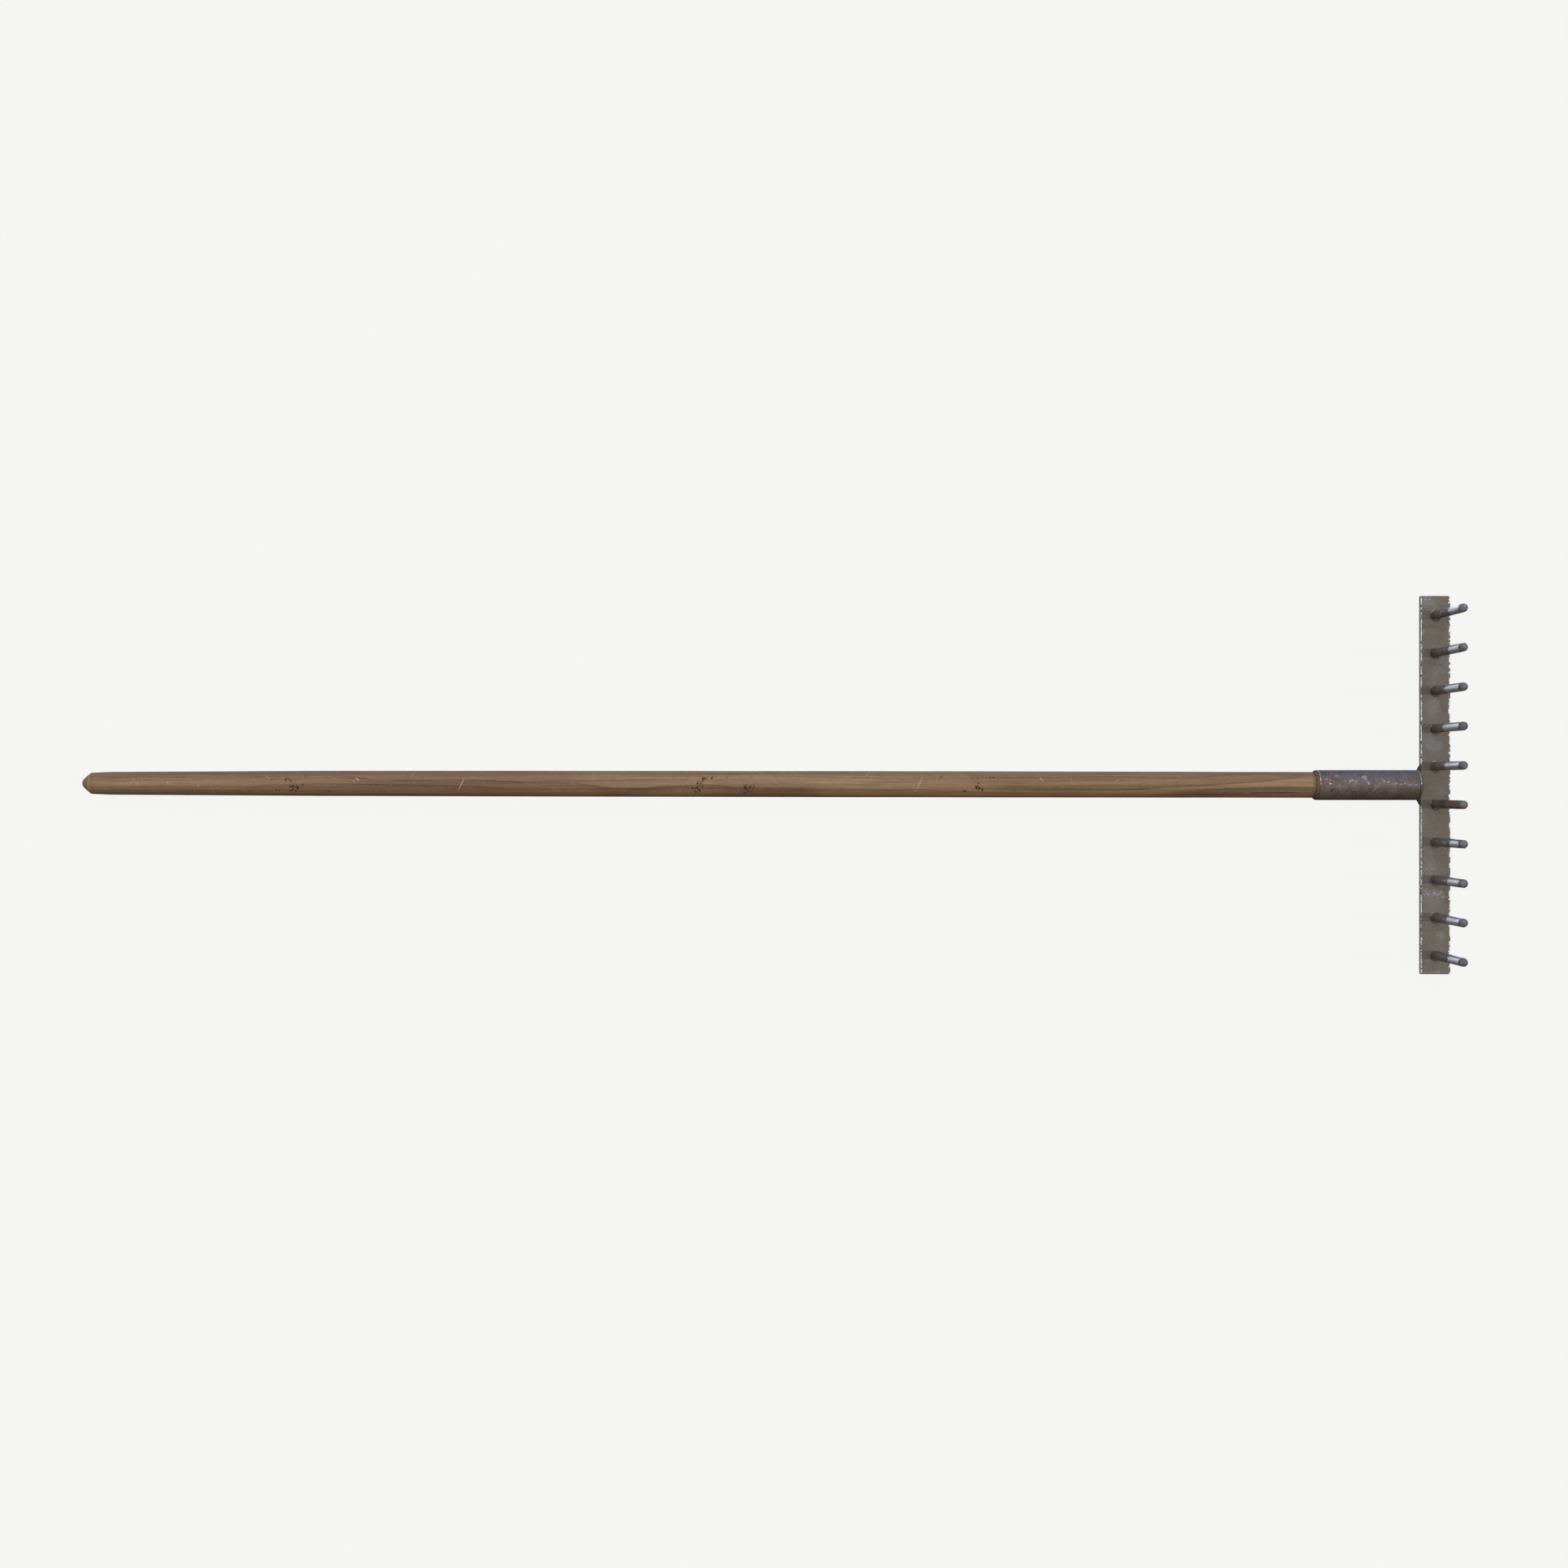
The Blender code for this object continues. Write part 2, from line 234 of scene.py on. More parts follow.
class Graph:
    """Adds nodes to a tree and gives their outputs."""

    def __init__(self, tree):
        self.tree = tree

    def add(self, kind, inputs, output=0, **settings):
        node = self.tree.nodes.new("ShaderNode" + kind)
        for key, value in settings.items():
            setattr(node, key, value)
        for key, value in inputs.items():
            if isinstance(value, bpy.types.NodeSocket):
                self.tree.links.new(value, node.inputs[key])
            elif value is not None:
                node.inputs[key].default_value = value
        return node.outputs[output]

    def math(self, operation, a, b=None):
        return self.add("Math", {0: a, 1: b}, operation=operation)

    def plus(self, a, b):
        return self.math("ADD", a, b)

    def minus(self, a, b):
        return self.math("SUBTRACT", a, b)

    def sway(self, field, size):
        """A noise field as a shift to both sides of 0."""
        return self.times(self.minus(field, 0.5), size)

    def vector(self, operation, a, b=None, output=0):
        return self.add("VectorMath", {0: a, 1: b}, output, operation=operation)

    def split(self, vector):
        node = self.tree.nodes.new("ShaderNodeSeparateXYZ")
        self.tree.links.new(vector, node.inputs[0])
        return node.outputs[0], node.outputs[1], node.outputs[2]

    def join(self, x, y, z):
        return self.add("CombineXYZ", {0: x, 1: y, 2: z})

    def stretched(self, vector, scale, turn=(0, 0, 0)):
        return self.add("Mapping", {"Vector": vector, "Scale": scale, "Rotation": turn})

    def noise(self, vector, scale=1, detail=3, roughness=0.5, distortion=0):
        settings = {"Scale": scale, "Detail": detail, "Roughness": roughness, "Distortion": distortion}
        return self.add("TexNoise", {"Vector": vector, **settings}, "Fac")

    def streaks(self, vector, scale, detail=3, roughness=0.5):
        return self.noise(self.stretched(vector, scale), 1, detail, roughness)

    def cells(self, vector, scale=1):
        return self.add("TexVoronoi", {"Vector": vector, "Scale": scale}, "Distance")

    def ease(self, value, start, end, low=0, high=1):
        return self.add(
            "MapRange",
            {"Value": value, "From Min": start, "From Max": end, "To Min": low, "To Max": high},
            interpolation_type="SMOOTHSTEP",
        )

    def band(self, value, start, full, fade, end):
        """1 between full and fade, 0 outside start and end."""
        return self.times(self.ease(value, start, full), self.ease(value, end, fade))

    def mix(self, factor, a, b, blend="MIX"):
        return self.add("Mix", {0: factor, 6: a, 7: b}, 2, data_type="RGBA", blend_type=blend)

    def over(self, color, rgb, *factors):
        """Lays a colour over another, as strongly as the factors say together."""
        return self.mix(self.times(*factors), color, seen(*rgb))

    def tones(self, field, start, end, first, second):
        """From one colour to another as a field goes from one value to another."""
        return self.mix(self.ease(field, start, end), seen(*first), seen(*second))

    def toned(self, color, *layers):
        """Lays colours over each other, each where a field goes from one value to another."""
        for field, start, end, amount, rgb in layers:
            color = self.over(color, rgb, self.ease(field, start, end, 0, amount))
        return color

    def blend(self, factor, a, b):
        """Between two numbers."""
        return self.add("Mix", {0: factor, 2: a, 3: b}, 0, data_type="FLOAT")

    def joined(self, operation, values):
        out = values[0]
        for value in values[1:]:
            out = self.math(operation, out, value)
        return out

    def times(self, *values):
        return self.joined("MULTIPLY", values)

    def most(self, *values):
        return self.joined("MAXIMUM", values)

    def mark(self, name):
        return self.add("Attribute", {}, "Fac", attribute_name=name)

    def spot(self, a, b, x, y, half_x, half_y, turn=0):
        """1 in the middle of an ellipse in the plane of a and b, 0 from its outline out, in millimetres."""
        u, v = self.minus(a, x * MM), self.minus(b, y * MM)
        if turn:
            c, s = math.cos(turn), math.sin(turn)
            u, v = (
                self.plus(self.times(u, c), self.times(v, s)),
                self.minus(self.times(v, c), self.times(u, s)),
            )
        u, v = self.times(u, 1 / (half_x * MM)), self.times(v, 1 / (half_y * MM))
        reach = self.plus(self.times(u, u), self.times(v, v))
        return self.ease(reach, 1, 0)

    def spots(self, a, b, table):
        """The strongest of a table of spots."""
        out = None
        for *place, amount in table:
            one = self.times(self.spot(a, b, *place), amount)
            out = one if out is None else self.most(out, one)
        return out

    def stained(self, color, a, b, table, *masks):
        """Lays a table of coloured spots over a colour."""
        for *place, amount, rgb in table:
            color = self.over(color, rgb, self.spot(a, b, *place), *masks, amount)
        return color

    def hairlines(self, p, *sets):
        """Thin slanted marks: how stretched, how turned, and where on the noise a mark starts and is full."""
        fields = [self.noise(self.stretched(p, scale, (0, 0, turn)), 1, 1) for scale, turn, _, _ in sets]
        return self.most(*(self.ease(field, *limits[2:]) for field, limits in zip(fields, sets)))

    def curve(self, value, points):
        """A smooth function of a number through given points."""
        xs, ys = [p[0] for p in points], [p[1] for p in points]
        x0, x1, y0, y1 = min(xs), max(xs), min(ys), max(ys)
        node = self.tree.nodes.new("ShaderNodeFloatCurve")
        line = node.mapping.curves[0]
        for i, (x, y) in enumerate(points):
            at = ((x - x0) / (x1 - x0), (y - y0) / (y1 - y0))
            if i in (0, len(points) - 1):
                line.points[0 if i == 0 else -1].location = at
            else:
                line.points.new(*at)
        node.mapping.update()
        self.tree.links.new(self.times(self.minus(value, x0), 1 / (x1 - x0)), node.inputs["Value"])
        return self.plus(self.times(node.outputs[0], y1 - y0), y0)

    def bump(self, height, distance, strength):
        return self.add("Bump", {"Height": height, "Distance": distance, "Strength": strength})


def new_material(name):
    """A material's graph, what sets its shader, and the place on the piece whole and in parts."""
    material = bpy.data.materials.new(name)
    material.use_nodes = True
    shader = material.node_tree.nodes["Principled BSDF"]
    graph = Graph(material.node_tree)

    def set_inputs(**inputs):
        for key, value in inputs.items():
            socket = shader.inputs[key.replace("_", " ")]
            if isinstance(value, bpy.types.NodeSocket):
                material.node_tree.links.new(value, socket)
            else:
                socket.default_value = value
        return material

    place = graph.add("TexCoord", {}, "Object")
    return graph, set_inputs, place, *graph.split(place)


# ---- studio

FLOOR_COLOR = linear(246, 246, 244)
FLOOR_Z = -0.0006
FLOOR_RADIUS = 60
CAMERA_AT = (0.0195, 0.0012, 2.2217)
CAMERA_LENS = 45.65
# Soft lobes of light: towards, how narrow, how strong, colour
STUDIO_LIGHT = (
    ((0, 0.8, 0.6), 5, 0.63, (0.93, 0.99, 1.1)),
    ((0, 0.3, 0.95), 5, 0.94, (1.05, 0.99, 0.9)),
    ((-0.04, 0.28, -0.96), 14, 1.42, (0.83, 0.93, 1)),
    ((-0.92, 0.1, 0.25), 8, 0.55, (1, 1, 1)),
)
# Two narrow lights in line with the handle: name, towards, strength
SIDE_LIGHTS = (
    ("head_light", (0.64, 0, 0.77), 0.72),
    ("tail_light", (-0.42, 0, 0.91), 0.3),
)


def make_studio():
    scene = bpy.context.scene
    scene.view_settings.view_transform = "Standard"
    scene.view_settings.look = "None"

    camera = bpy.data.cameras.new("camera")
    camera.lens = CAMERA_LENS
    camera.sensor_width = 36
    camera.clip_end = 100
    obj = bpy.data.objects.new("camera", camera)
    obj.location = CAMERA_AT
    scene.collection.objects.link(obj)
    scene.camera = obj

    bpy.ops.mesh.primitive_circle_add(
        vertices=64, radius=FLOOR_RADIUS, fill_type="NGON", location=(0, 0, FLOOR_Z)
    )
    floor = bpy.context.object
    floor.name = "floor"
    floor.visible_diffuse = floor.visible_glossy = floor.visible_shadow = False
    set_inputs = new_material("pale_floor")[1]
    material = set_inputs(
        Base_Color=(0.05, 0.05, 0.049, 1),
        Roughness=1,
        Specular_IOR_Level=0,
        Emission_Color=(*FLOOR_COLOR, 1),
        Emission_Strength=0.955,
    )
    floor.data.materials.append(material)

    world = bpy.data.worlds.new("studio")
    scene.world = world
    world.use_nodes = True
    world.node_tree.nodes.clear()
    g = Graph(world.node_tree)
    way = g.add("TexCoord", {}, "Generated")

    def lobe(towards, power, strength, color):
        towards = Vector(towards).normalized()
        near = g.math("MAXIMUM", g.vector("DOT_PRODUCT", way, tuple(towards), "Value"), 0)
        amount = g.times(g.math("POWER", near, power), strength)
        return g.mix(1, g.add("CombineColor", {0: amount, 1: amount, 2: amount}), (*color, 1), "MULTIPLY")

    y = g.split(way)[1]
    around = g.mix(g.ease(y, -0.8, 0.9), (0.046, 0.025, 0.01, 1), (0.16, 0.19, 0.26, 1))
    for args in STUDIO_LIGHT:
        around = g.mix(1, around, lobe(*args), "ADD")
    lit = g.add("Background", {"Color": around}, "Background")
    plain = g.add("Background", {"Color": (*FLOOR_COLOR, 1)}, "Background")
    camera_ray = g.add("LightPath", {}, "Is Camera Ray")
    both = g.add("MixShader", {0: camera_ray, 1: lit, 2: plain})
    out = world.node_tree.nodes.new("ShaderNodeOutputWorld")
    world.node_tree.links.new(both, out.inputs["Surface"])

    for name, towards, energy in SIDE_LIGHTS:
        lamp = bpy.data.lights.new(name, "SUN")
        lamp.energy = energy
        lamp.angle = math.radians(4)
        lamp.color = (1, 0.97, 0.93)
        sun = bpy.data.objects.new(name, lamp)
        sun.rotation_euler = Vector(towards).to_track_quat("Z", "Y").to_euler()
        scene.collection.objects.link(sun)


# ---- handle

# Distance from the free end, diameter
HANDLE_STATIONS = (
    (0, 6.6), (0.6, 8.4), (1.4, 10.2), (9, 23.3), (9.8, 23.5), (29, 25.2), (88, 25.9), (268, 27.9),
    (540, 28.6), (990, 29), (1350, 28.5), (2000, 28.5),
)
HANDLE_SIDES = 112
HANDLE_RADIUS = 0.0142  # about its middle; turns distances round the pole into angles
CONE_RADIUS = 0.0116
# The pole is not quite straight: how far its middle lies to +Y, by place along the rake
HANDLE_BOW = ((-757.5, 2), (-450, 1.9), (600, 0.24), (650, 0))
# Dented places, each a cluster of small pits: along the handle, across it, half sizes, how many, how big
DENTS = (
    (-540, -5.8, 3, 1.2, 6, 0.9), (-521, -3.6, 5, 3.4, 22, 1.1), (-527.5, 5.5, 4.6, 2.6, 8, 1),
    (-507.5, 9.5, 3, 1, 3, 0.9), (-511, 2, 1, 2.8, 3, 0.9), (-489, -6.4, 8.5, 0.6, 9, 0.8),
    (-477, -3.4, 2, 0.6, 2, 0.8), (-562.8, 10.5, 0.8, 0.4, 1, 0.9), (-67.5, 6.8, 3, 1.8, 10, 1.1),
    (-73, 0.5, 3.2, 3.4, 13, 1), (-77.5, -5, 4, 3, 15, 1.1), (-60, 8.2, 0.6, 1.2, 2, 1.1),
    (-43, 8, 1, 0.6, 2, 0.8), (-19.5, -5, 5.8, 4, 26, 1.1), (227, 6.2, 0.4, 0.4, 1, 1.2),
    (233.3, 6.4, 0.4, 0.4, 1, 1.2), (233.8, 2.6, 0.6, 1, 2, 1.1), (234, -3.6, 4.6, 3.4, 16, 1.1),
    (235, -3.2, 0.6, 0.6, 2, 1.6), (217.8, -6.4, 2.8, 0.8, 5, 0.9), (249.4, 7.8, 3, 1, 4, 0.9),
    (272, -6.4, 3, 0.6, 3, 0.9), (192.7, 8.8, 1, 0.4, 1, 0.9),
)


def bow_at(x):
    return np.interp(x, *(np.array(HANDLE_BOW) * MM).T)


def handle_rings():
    """Places of the rings along the handle: close where the surface changes, wide inside the socket."""
    places = [0, 0.00025, 0.0006]
    end = HANDLE_HI[0] - HANDLE_LO[0]
    socket = MOUTH_X - HANDLE_LO[0]
    while places[-1] < end:
        at = places[-1]
        x = at + HANDLE_LO[0]
        near = min(abs(x - dent[0] * MM) - 1.3 * dent[2] * MM - 0.002 for dent in DENTS)
        step = 0.0008 if near < 0 or at < 0.012 else 0.0023
        if at > socket + 0.004:
            step = 0.012
        places.append(at + step)
    places[-1] = end
    return np.array(places)


def make_handle():
    along = handle_rings()
    angle = all_round(HANDLE_SIDES)
    stations = np.array(HANDLE_STATIONS) * MM
    radius = np.interp(along, stations[:, 0], stations[:, 1] / 2)
    a, t = np.meshgrid(along, angle, indexing="ij")
    r = np.repeat(radius[:, None], HANDLE_SIDES, 1)
    # A worn, slightly uneven surface: long shallow facets left by the plane and fine raised grain
    facet = wander2(a * 0.06, np.cos(t) * 0.012 + 0.5, 0.0042, 1)
    facet += wander2(a * 0.06, np.sin(t) * 0.012 + 0.5, 0.0042, 2)
    half_turn = t % math.pi
    grain = wander2(a * 0.02, half_turn * HANDLE_RADIUS, 0.0008, 3)
    grain *= np.minimum(1, np.minimum(half_turn, math.pi - half_turn) * 4)
    r = r + 0.00013 - 0.00006 * facet - 0.00005 * grain
    # The corner of the end cone is a little rounded by use
    worn = 0.00002 + 0.00014 * wander(t * CONE_RADIUS, 0.0024, 4, True)
    r = r - np.exp(-(((a - 0.009) / 0.0011) ** 2)) * worn
    bow = bow_at(a + HANDLE_LO[0])
    rng = np.random.default_rng(SEED)
    pit = np.zeros_like(r)
    for x, y, half_x, half_y, count, big in DENTS:
        for _ in range(count):
            px = (x + rng.uniform(-1, 1) * half_x) * MM - HANDLE_LO[0]
            py = (y + rng.uniform(-1, 1) * half_y) * MM - bow_at(x * MM)
            size = rng.uniform(0.00042, 0.00085) * big
            turn = turn_from(t, py, HANDLE_RADIUS)
            reach = ((a - px) / (1.2 * size)) ** 2 + (turn * HANDLE_RADIUS / size) ** 2
            pit = np.maximum(pit, np.exp(-reach) * rng.uniform(0.55, 1))
    r = r - 0.00035 * pit
    ring_x = HANDLE_LO[0] + a
    rings = np.stack([ring_x, bow + r * np.sin(t), AXIS_Z + r * np.cos(t)], -1)
    obj = solid("handle_pole", rings)
    mark(obj, "pit", pit)
    return finished(obj, "handle", wood_material())


# Lines in the grain where the wood changes tone: which side is darker, how far the darkness
# reaches, how dark, where it fades in and out along the handle, and the line itself as (x, y)
FLAMES = (
    (-1, 12, 0.66, -500, 80, (
        (-500, 11.8), (-455, 9.3), (-420, 5.6), (-380, 5.5), (-348, 5.7), (-308, 5.3), (-272, 4.2),
        (-218, 3.4), (-200, 1.4), (-183, -1), (-165, -2.8), (-138, -2.6), (-110, -0.5), (-80, 0.3),
        (-60, 0.4), (-30, -2), (20, -2.7), (90, -5))),
    (-1, 2.4, 1, -440, -240, (
        (-440, 6.2), (-400, 5.8), (-375, 5.6), (-348, 6.2), (-308, 5.5), (-272, 4.3), (-240, 3.6))),
    (-1, 8, 0.5, -600, -270, (
        (-620, -5.2), (-585, -2.6), (-567, -1), (-549, 0.6), (-520, 1.2), (-487, 1.6), (-440, 1.6),
        (-410, 1), (-380, 0.6), (-350, -0.2), (-310, -1.6), (-270, -4.5))),
    (-1, 1.8, 0.66, -500, -290, (
        (-500, 1.4), (-440, 1.6), (-410, 1), (-380, 0.6), (-350, -0.2), (-300, -2.2))),
    (1, 12, 0.56, 230, 620, (
        (230, -6.6), (300, -6.8), (327, -6.6), (363, -6.4), (408, -5.2), (435, -3.5), (461, -1.6),
        (488, -0.2), (533, 2.5), (569, 5.6), (610, 10.5))),
    (1, 1.2, 0.8, 265, 590, (
        (280, -6.8), (327, -6.6), (363, -6.4), (408, -5.2), (435, -3.5), (461, -1.6), (488, -0.2),
        (533, 2.5), (600, 9))),
    (-1, 10, 0.72, 430, 640, (
        (420, -9), (443, -7.4), (470, -5.1), (497, -3.8), (533, -2.5), (560, -2), (578, -1.7),
        (610, -3.2))),
    (1, 9, 0.36, -760, -430, (
        (-760, 3), (-720, 6), (-700, 7), (-660, 7.8), (-600, 7.6), (-550, 8.4), (-500, 9.8),
        (-420, 12.2))),
    (1, 7, 0.42, 190, 600, (
        (220, 10.5), (260, 7), (320, 6.2), (380, 5.2), (440, 6.6), (500, 9), (570, 12.5))),
    (-1, 5, 0.26, -680, -560, (
        (-700, -6), (-660, -3.6), (-620, -5), (-580, -8))),
    (-1, 2, 0.8, -175, -85, (
        (-180, -5), (-150, -4.6), (-120, -4.2), (-80, -4.8))),
)


# Tables of marks, here and below: place along and across, half sizes, turn, amount, and where it
# varies the colour
# Separate streaks and stains of the wood, and scratches through its varnish
WOOD_STAINS = (
    (-700, 4.8, 30, 1.4, 0.055, 0.5, (96, 72, 60)), (-620, 3, 30, 2, 0, 0.3, (164, 138, 110)),
    (-445, 7.2, 22, 2.2, -0.16, 0.5, (100, 76, 66)), (560, -8.6, 50, 1, 0.01, 0.9, (52, 40, 32)),
    (500, -9.3, 40, 0.7, 0, 0.6, (70, 52, 40)), (118, 1.5, 18, 4.8, 0.1, 0.36, (118, 96, 76)),
    (109, -2.5, 11, 4, 0.3, 0.25, (124, 104, 88)), (-225, -4, 12, 3, -0.25, 0.34, (124, 104, 88)),
    (445, -4.5, 8, 3.4, 0.5, 0.34, (128, 108, 92)), (470, -6, 10, 2.6, 0.2, 0.34, (128, 108, 92)),
    (-638, 5.2, 11, 4, 0.35, 0.26, (150, 128, 108)), (-105, 10, 50, 1.2, 0, 0.4, (106, 80, 62)),
    (-160, 11.2, 70, 1, 0, 0.45, (100, 76, 60)), (50, 13, 130, 1, 0, 0.45, (92, 70, 58)),
)
WOOD_SCRATCHES = (
    (-336.3, 0.6, 10.8, 0.48, 1.13, 1), (168.4, 0.8, 10.8, 0.45, 1.12, 0.89),
    (-450.8, 6.6, 3, 0.7, -0.65, 1), (-455, 4, 1.4, 0.56, -0.6, 0.81),
    (-550, 8.8, 4.6, 0.31, -0.65, 0.74), (-699, 5.2, 5.3, 0.31, 0.9, 0.68),
    (-693, 3, 4.6, 0.28, 1.2, 0.61), (-687, 4, 3.9, 0.28, -0.8, 0.54), (-612, -7.8, 4.6, 0.31, 1, 0.68),
    (-626, -0.8, 1.6, 0.7, 0, 0.74), (-660, 3, 1.8, 0.7, 0.3, 0.68), (-476, 7.6, 4.6, 0.28, -0.1, 0.61),
    (-390, 11.8, 4.6, 0.34, 0.8, 0.74), (111, 11.8, 4.6, 0.34, 0.8, 0.81),
    (303, 6.6, 3.7, 0.48, -0.75, 1), (336, 5.2, 2.3, 0.34, -0.8, 0.68), (386, 5, 1.6, 0.56, 0.4, 0.74),
    (405, 4.8, 4.6, 0.25, 0.15, 0.47), (456, 9, 6.9, 0.28, -0.6, 0.54), (-213, 2, 5.2, 0.25, -0.9, 0.41),
    (-95, -5, 6.9, 0.25, 0.9, 0.41), (56, 3, 23, 0.22, 0.02, 0.41),
)


def wood_material():
    g, done, p, x, y, z = new_material("varnished_wood_aged")
    up = g.ease(z, AXIS_Z - 0.002, AXIS_Z + 0.002)
    slow = g.streaks(p, (9, 70, 70), 3, 0.55)
    fibre = g.streaks(p, (16, 1000, 1000), 4, 0.65)
    streak = g.streaks(p, (6, 330, 330), 3, 0.6)
    band = g.streaks(p, (3, 110, 110), 2, 0.5)
    tone = g.streaks(p, (4, 24, 24), 2, 0.5)
    blot = g.streaks(p, (140, 420, 420), 3, 0.6)
    grit = g.streaks(p, (900, 1500, 1500), 2, 0.6)

    color = g.tones(tone, 0.36, 0.64, (138, 111, 82), (151, 125, 94))
    color = g.toned(
        color,
        (band, 0.5, 0.66, 0.5, (120, 95, 72)),
        (streak, 0.51, 0.66, 0.58, (104, 79, 59)),
        (streak, 0.47, 0.28, 0.5, (170, 143, 108)),
    )
    # A reddish cast on the side where the heartwood shows
    color = g.over(color, (124, 95, 80), g.ease(y, 0.002, 0.011), g.ease(slow, 0.36, 0.6), 0.34)

    # Flames of darker wood
    wave = g.sway(streak, 0.003)
    wavy = g.plus(y, wave)
    dark = None
    for side, reach, amount, start, end, points in FLAMES:
        reach, start, end = reach * MM, start * MM, end * MM
        depth = g.times(g.minus(wavy, g.curve(x, [(at * MM, across * MM) for at, across in points])), side)
        one = g.times(g.ease(depth, -0.0003, 0.0003), g.ease(depth, reach, reach * 0.1), amount)
        fade = g.band(x, start, start + 0.045, end - 0.045, end)
        one = g.times(one, fade)
        dark = one if dark is None else g.minus(g.plus(dark, one), g.times(dark, one))
    dark = g.times(dark, g.ease(fibre, 0.2, 0.55, 0.72, 1))
    color = g.mix(dark, color, g.tones(dark, 0.5, 0.9, (98, 73, 54), (66, 52, 48)))

    color = g.stained(color, x, wavy, WOOD_STAINS, up, g.ease(blot, 0.25, 0.55))

    color = g.toned(
        color,
        (fibre, 0.52, 0.7, 0.56, (92, 69, 52)),
        (fibre, 0.44, 0.26, 0.38, (172, 147, 115)),
        (blot, 0.54, 0.7, 0.36, (104, 82, 64)),
        (blot, 0.44, 0.28, 0.3, (164, 140, 111)),
        (grit, 0.56, 0.72, 0.22, (96, 76, 62)),
        (grit, 0.42, 0.28, 0.18, (170, 148, 122)),
    )
    # Both ends are darker with handling than the middle
    color = g.toned(
        color,
        (x, -0.15, -0.4, 0.3, (106, 82, 62)),
        (x, 0.2, 0.45, 0.16, (112, 86, 64)),
    )

    # The worn ring where the taper starts, and painted shade on the wood beside the socket
    off_end = g.minus(x, HANDLE_LO[0])
    ragged_end = g.plus(off_end, g.sway(blot, 0.0016))
    cone = g.band(ragged_end, 0.0074, 0.0086, 0.0094, 0.0108)
    color = g.over(color, (166, 138, 112), cone, g.ease(streak, 0.25, 0.6), 0.6)
    tip = g.ease(ragged_end, 0.0076, 0.006)
    color = g.over(color, (126, 98, 80), tip, 0.35)
    line = g.band(ragged_end, 0.0112, 0.012, 0.0124, 0.0138)
    color = g.over(color, (92, 70, 58), line, 0.26)
    # Painted shade: the wood darkens over the last few millimetres before the mouth
    ragged = g.plus(x, g.times(g.streaks(p, (200, 420, 420), 3), 0.0044))
    socket_shade = g.ease(ragged, MOUTH_X - 0.0034, MOUTH_X + 0.0006)
    color = g.over(color, (98, 82, 68), socket_shade, 0.66)

    # Pits filled with dirt
    speck = g.noise(p, 1100, 2)
    deep = g.plus(g.mark("pit"), g.sway(speck, 0.6))
    color = g.over(color, (84, 70, 62), g.ease(g.mark("pit"), 0.04, 0.4), 0.3)
    pit = g.ease(deep, 0.2, 0.42)
    color = g.over(color, (42, 38, 40), pit, 0.92)

    # Scratches through the varnish
    color = g.stained(color, x, y, [(*row, (200, 175, 146)) for row in WOOD_SCRATCHES], up)
    hairs = g.hairlines(p, ((130, 1500, 1500), 0.35, 0.75, 0.82), ((150, 1700, 1700), -0.5, 0.76, 0.83))
    color = g.over(color, (180, 156, 130), hairs, 0.42)
    flakes = g.cells(g.stretched(p, (150, 320, 320)), 1)
    scuff = g.times(g.ease(flakes, 0.17, 0.09), g.ease(slow, 0.48, 0.6))
    color = g.over(color, (182, 158, 132), scuff, 0.36)

    rough = g.blend(g.ease(streak, 0.3, 0.7), 0.38, 0.52)
    rough = g.blend(g.most(pit, socket_shade), rough, 0.85)
    height = g.plus(g.times(fibre, 0.5), g.times(streak, -0.35))
    height = g.minus(height, g.times(hairs, 0.5))
    normal = g.bump(height, 0.00022, 0.55)
    return done(Base_Color=color, Roughness=rough, Normal=normal, Specular_IOR_Level=0.32, IOR=1.45)


# ---- socket

SOCKET_BORE = 0.01455
MOUTH_ROUND = 0.0028
TUBE_SIDES = 128
# Dents of the pipe: from the mouth, across, size, depth
TUBE_DENTS = (
    (15.7, -6.6, 1.1, 0.4), (17.3, -5, 0.8, 0.26), (10.2, 6.4, 1, 0.18), (14.5, 2, 1.2, 0.16),
    (73.5, 1.5, 2, 0.12), (94.5, -3, 1.6, 0.12),
)


# Light scuffs on the pipe, from its mouth
SCUFFS = (
    (10.2, 6.4, 2.2, 0.8, 0, 0.6), (11, 4, 1, 0.8, 0, 0.5), (14.5, 1.8, 1.5, 1.7, 0.3, 1),
    (14.7, 5.6, 0.9, 1.4, 0.3, 0.55), (17.5, 4.8, 0.8, 0.7, 0, 0.6), (21.8, -2, 0.9, 0.7, 0, 0.65),
    (24.7, -0.4, 0.9, 0.7, 0, 0.7), (22.5, 10, 4, 1.4, 0, 0.35), (38, 5.2, 3.6, 1.2, 0.2, 0.7),
    (42.5, 4, 2.6, 1, 0, 0.6), (36, 3, 1.6, 0.8, 0, 0.45), (53.5, 8, 1.8, 4, 0.2, 0.62),
    (51, 8.6, 2.2, 2, 0, 0.5), (56.3, 3, 1.4, 1.8, 0, 0.7), (57.1, 1.2, 1.3, 0.9, 0, 1),
    (64.6, -3.4, 5.2, 0.45, 0.84, 0.85), (63.5, -1.2, 2.2, 0.6, 0.84, 0.45),
    (74.1, 4.8, 3, 0.8, -0.5, 0.95), (78.1, 3, 1.6, 0.8, 0, 0.7), (86.5, 1.8, 2.6, 0.7, 0.1, 0.75),
    (92.3, 0.8, 2, 0.6, 0, 0.55), (96.5, 1.6, 1.4, 0.8, 0.4, 0.8), (101.9, 0.2, 2.4, 0.7, 0.1, 0.75),
    (108.5, 0.4, 2.2, 0.8, 0, 0.55), (43.5, -5, 3, 0.5, -0.4, 0.35), (79.5, -6, 2.6, 0.5, 0.7, 0.3),
)
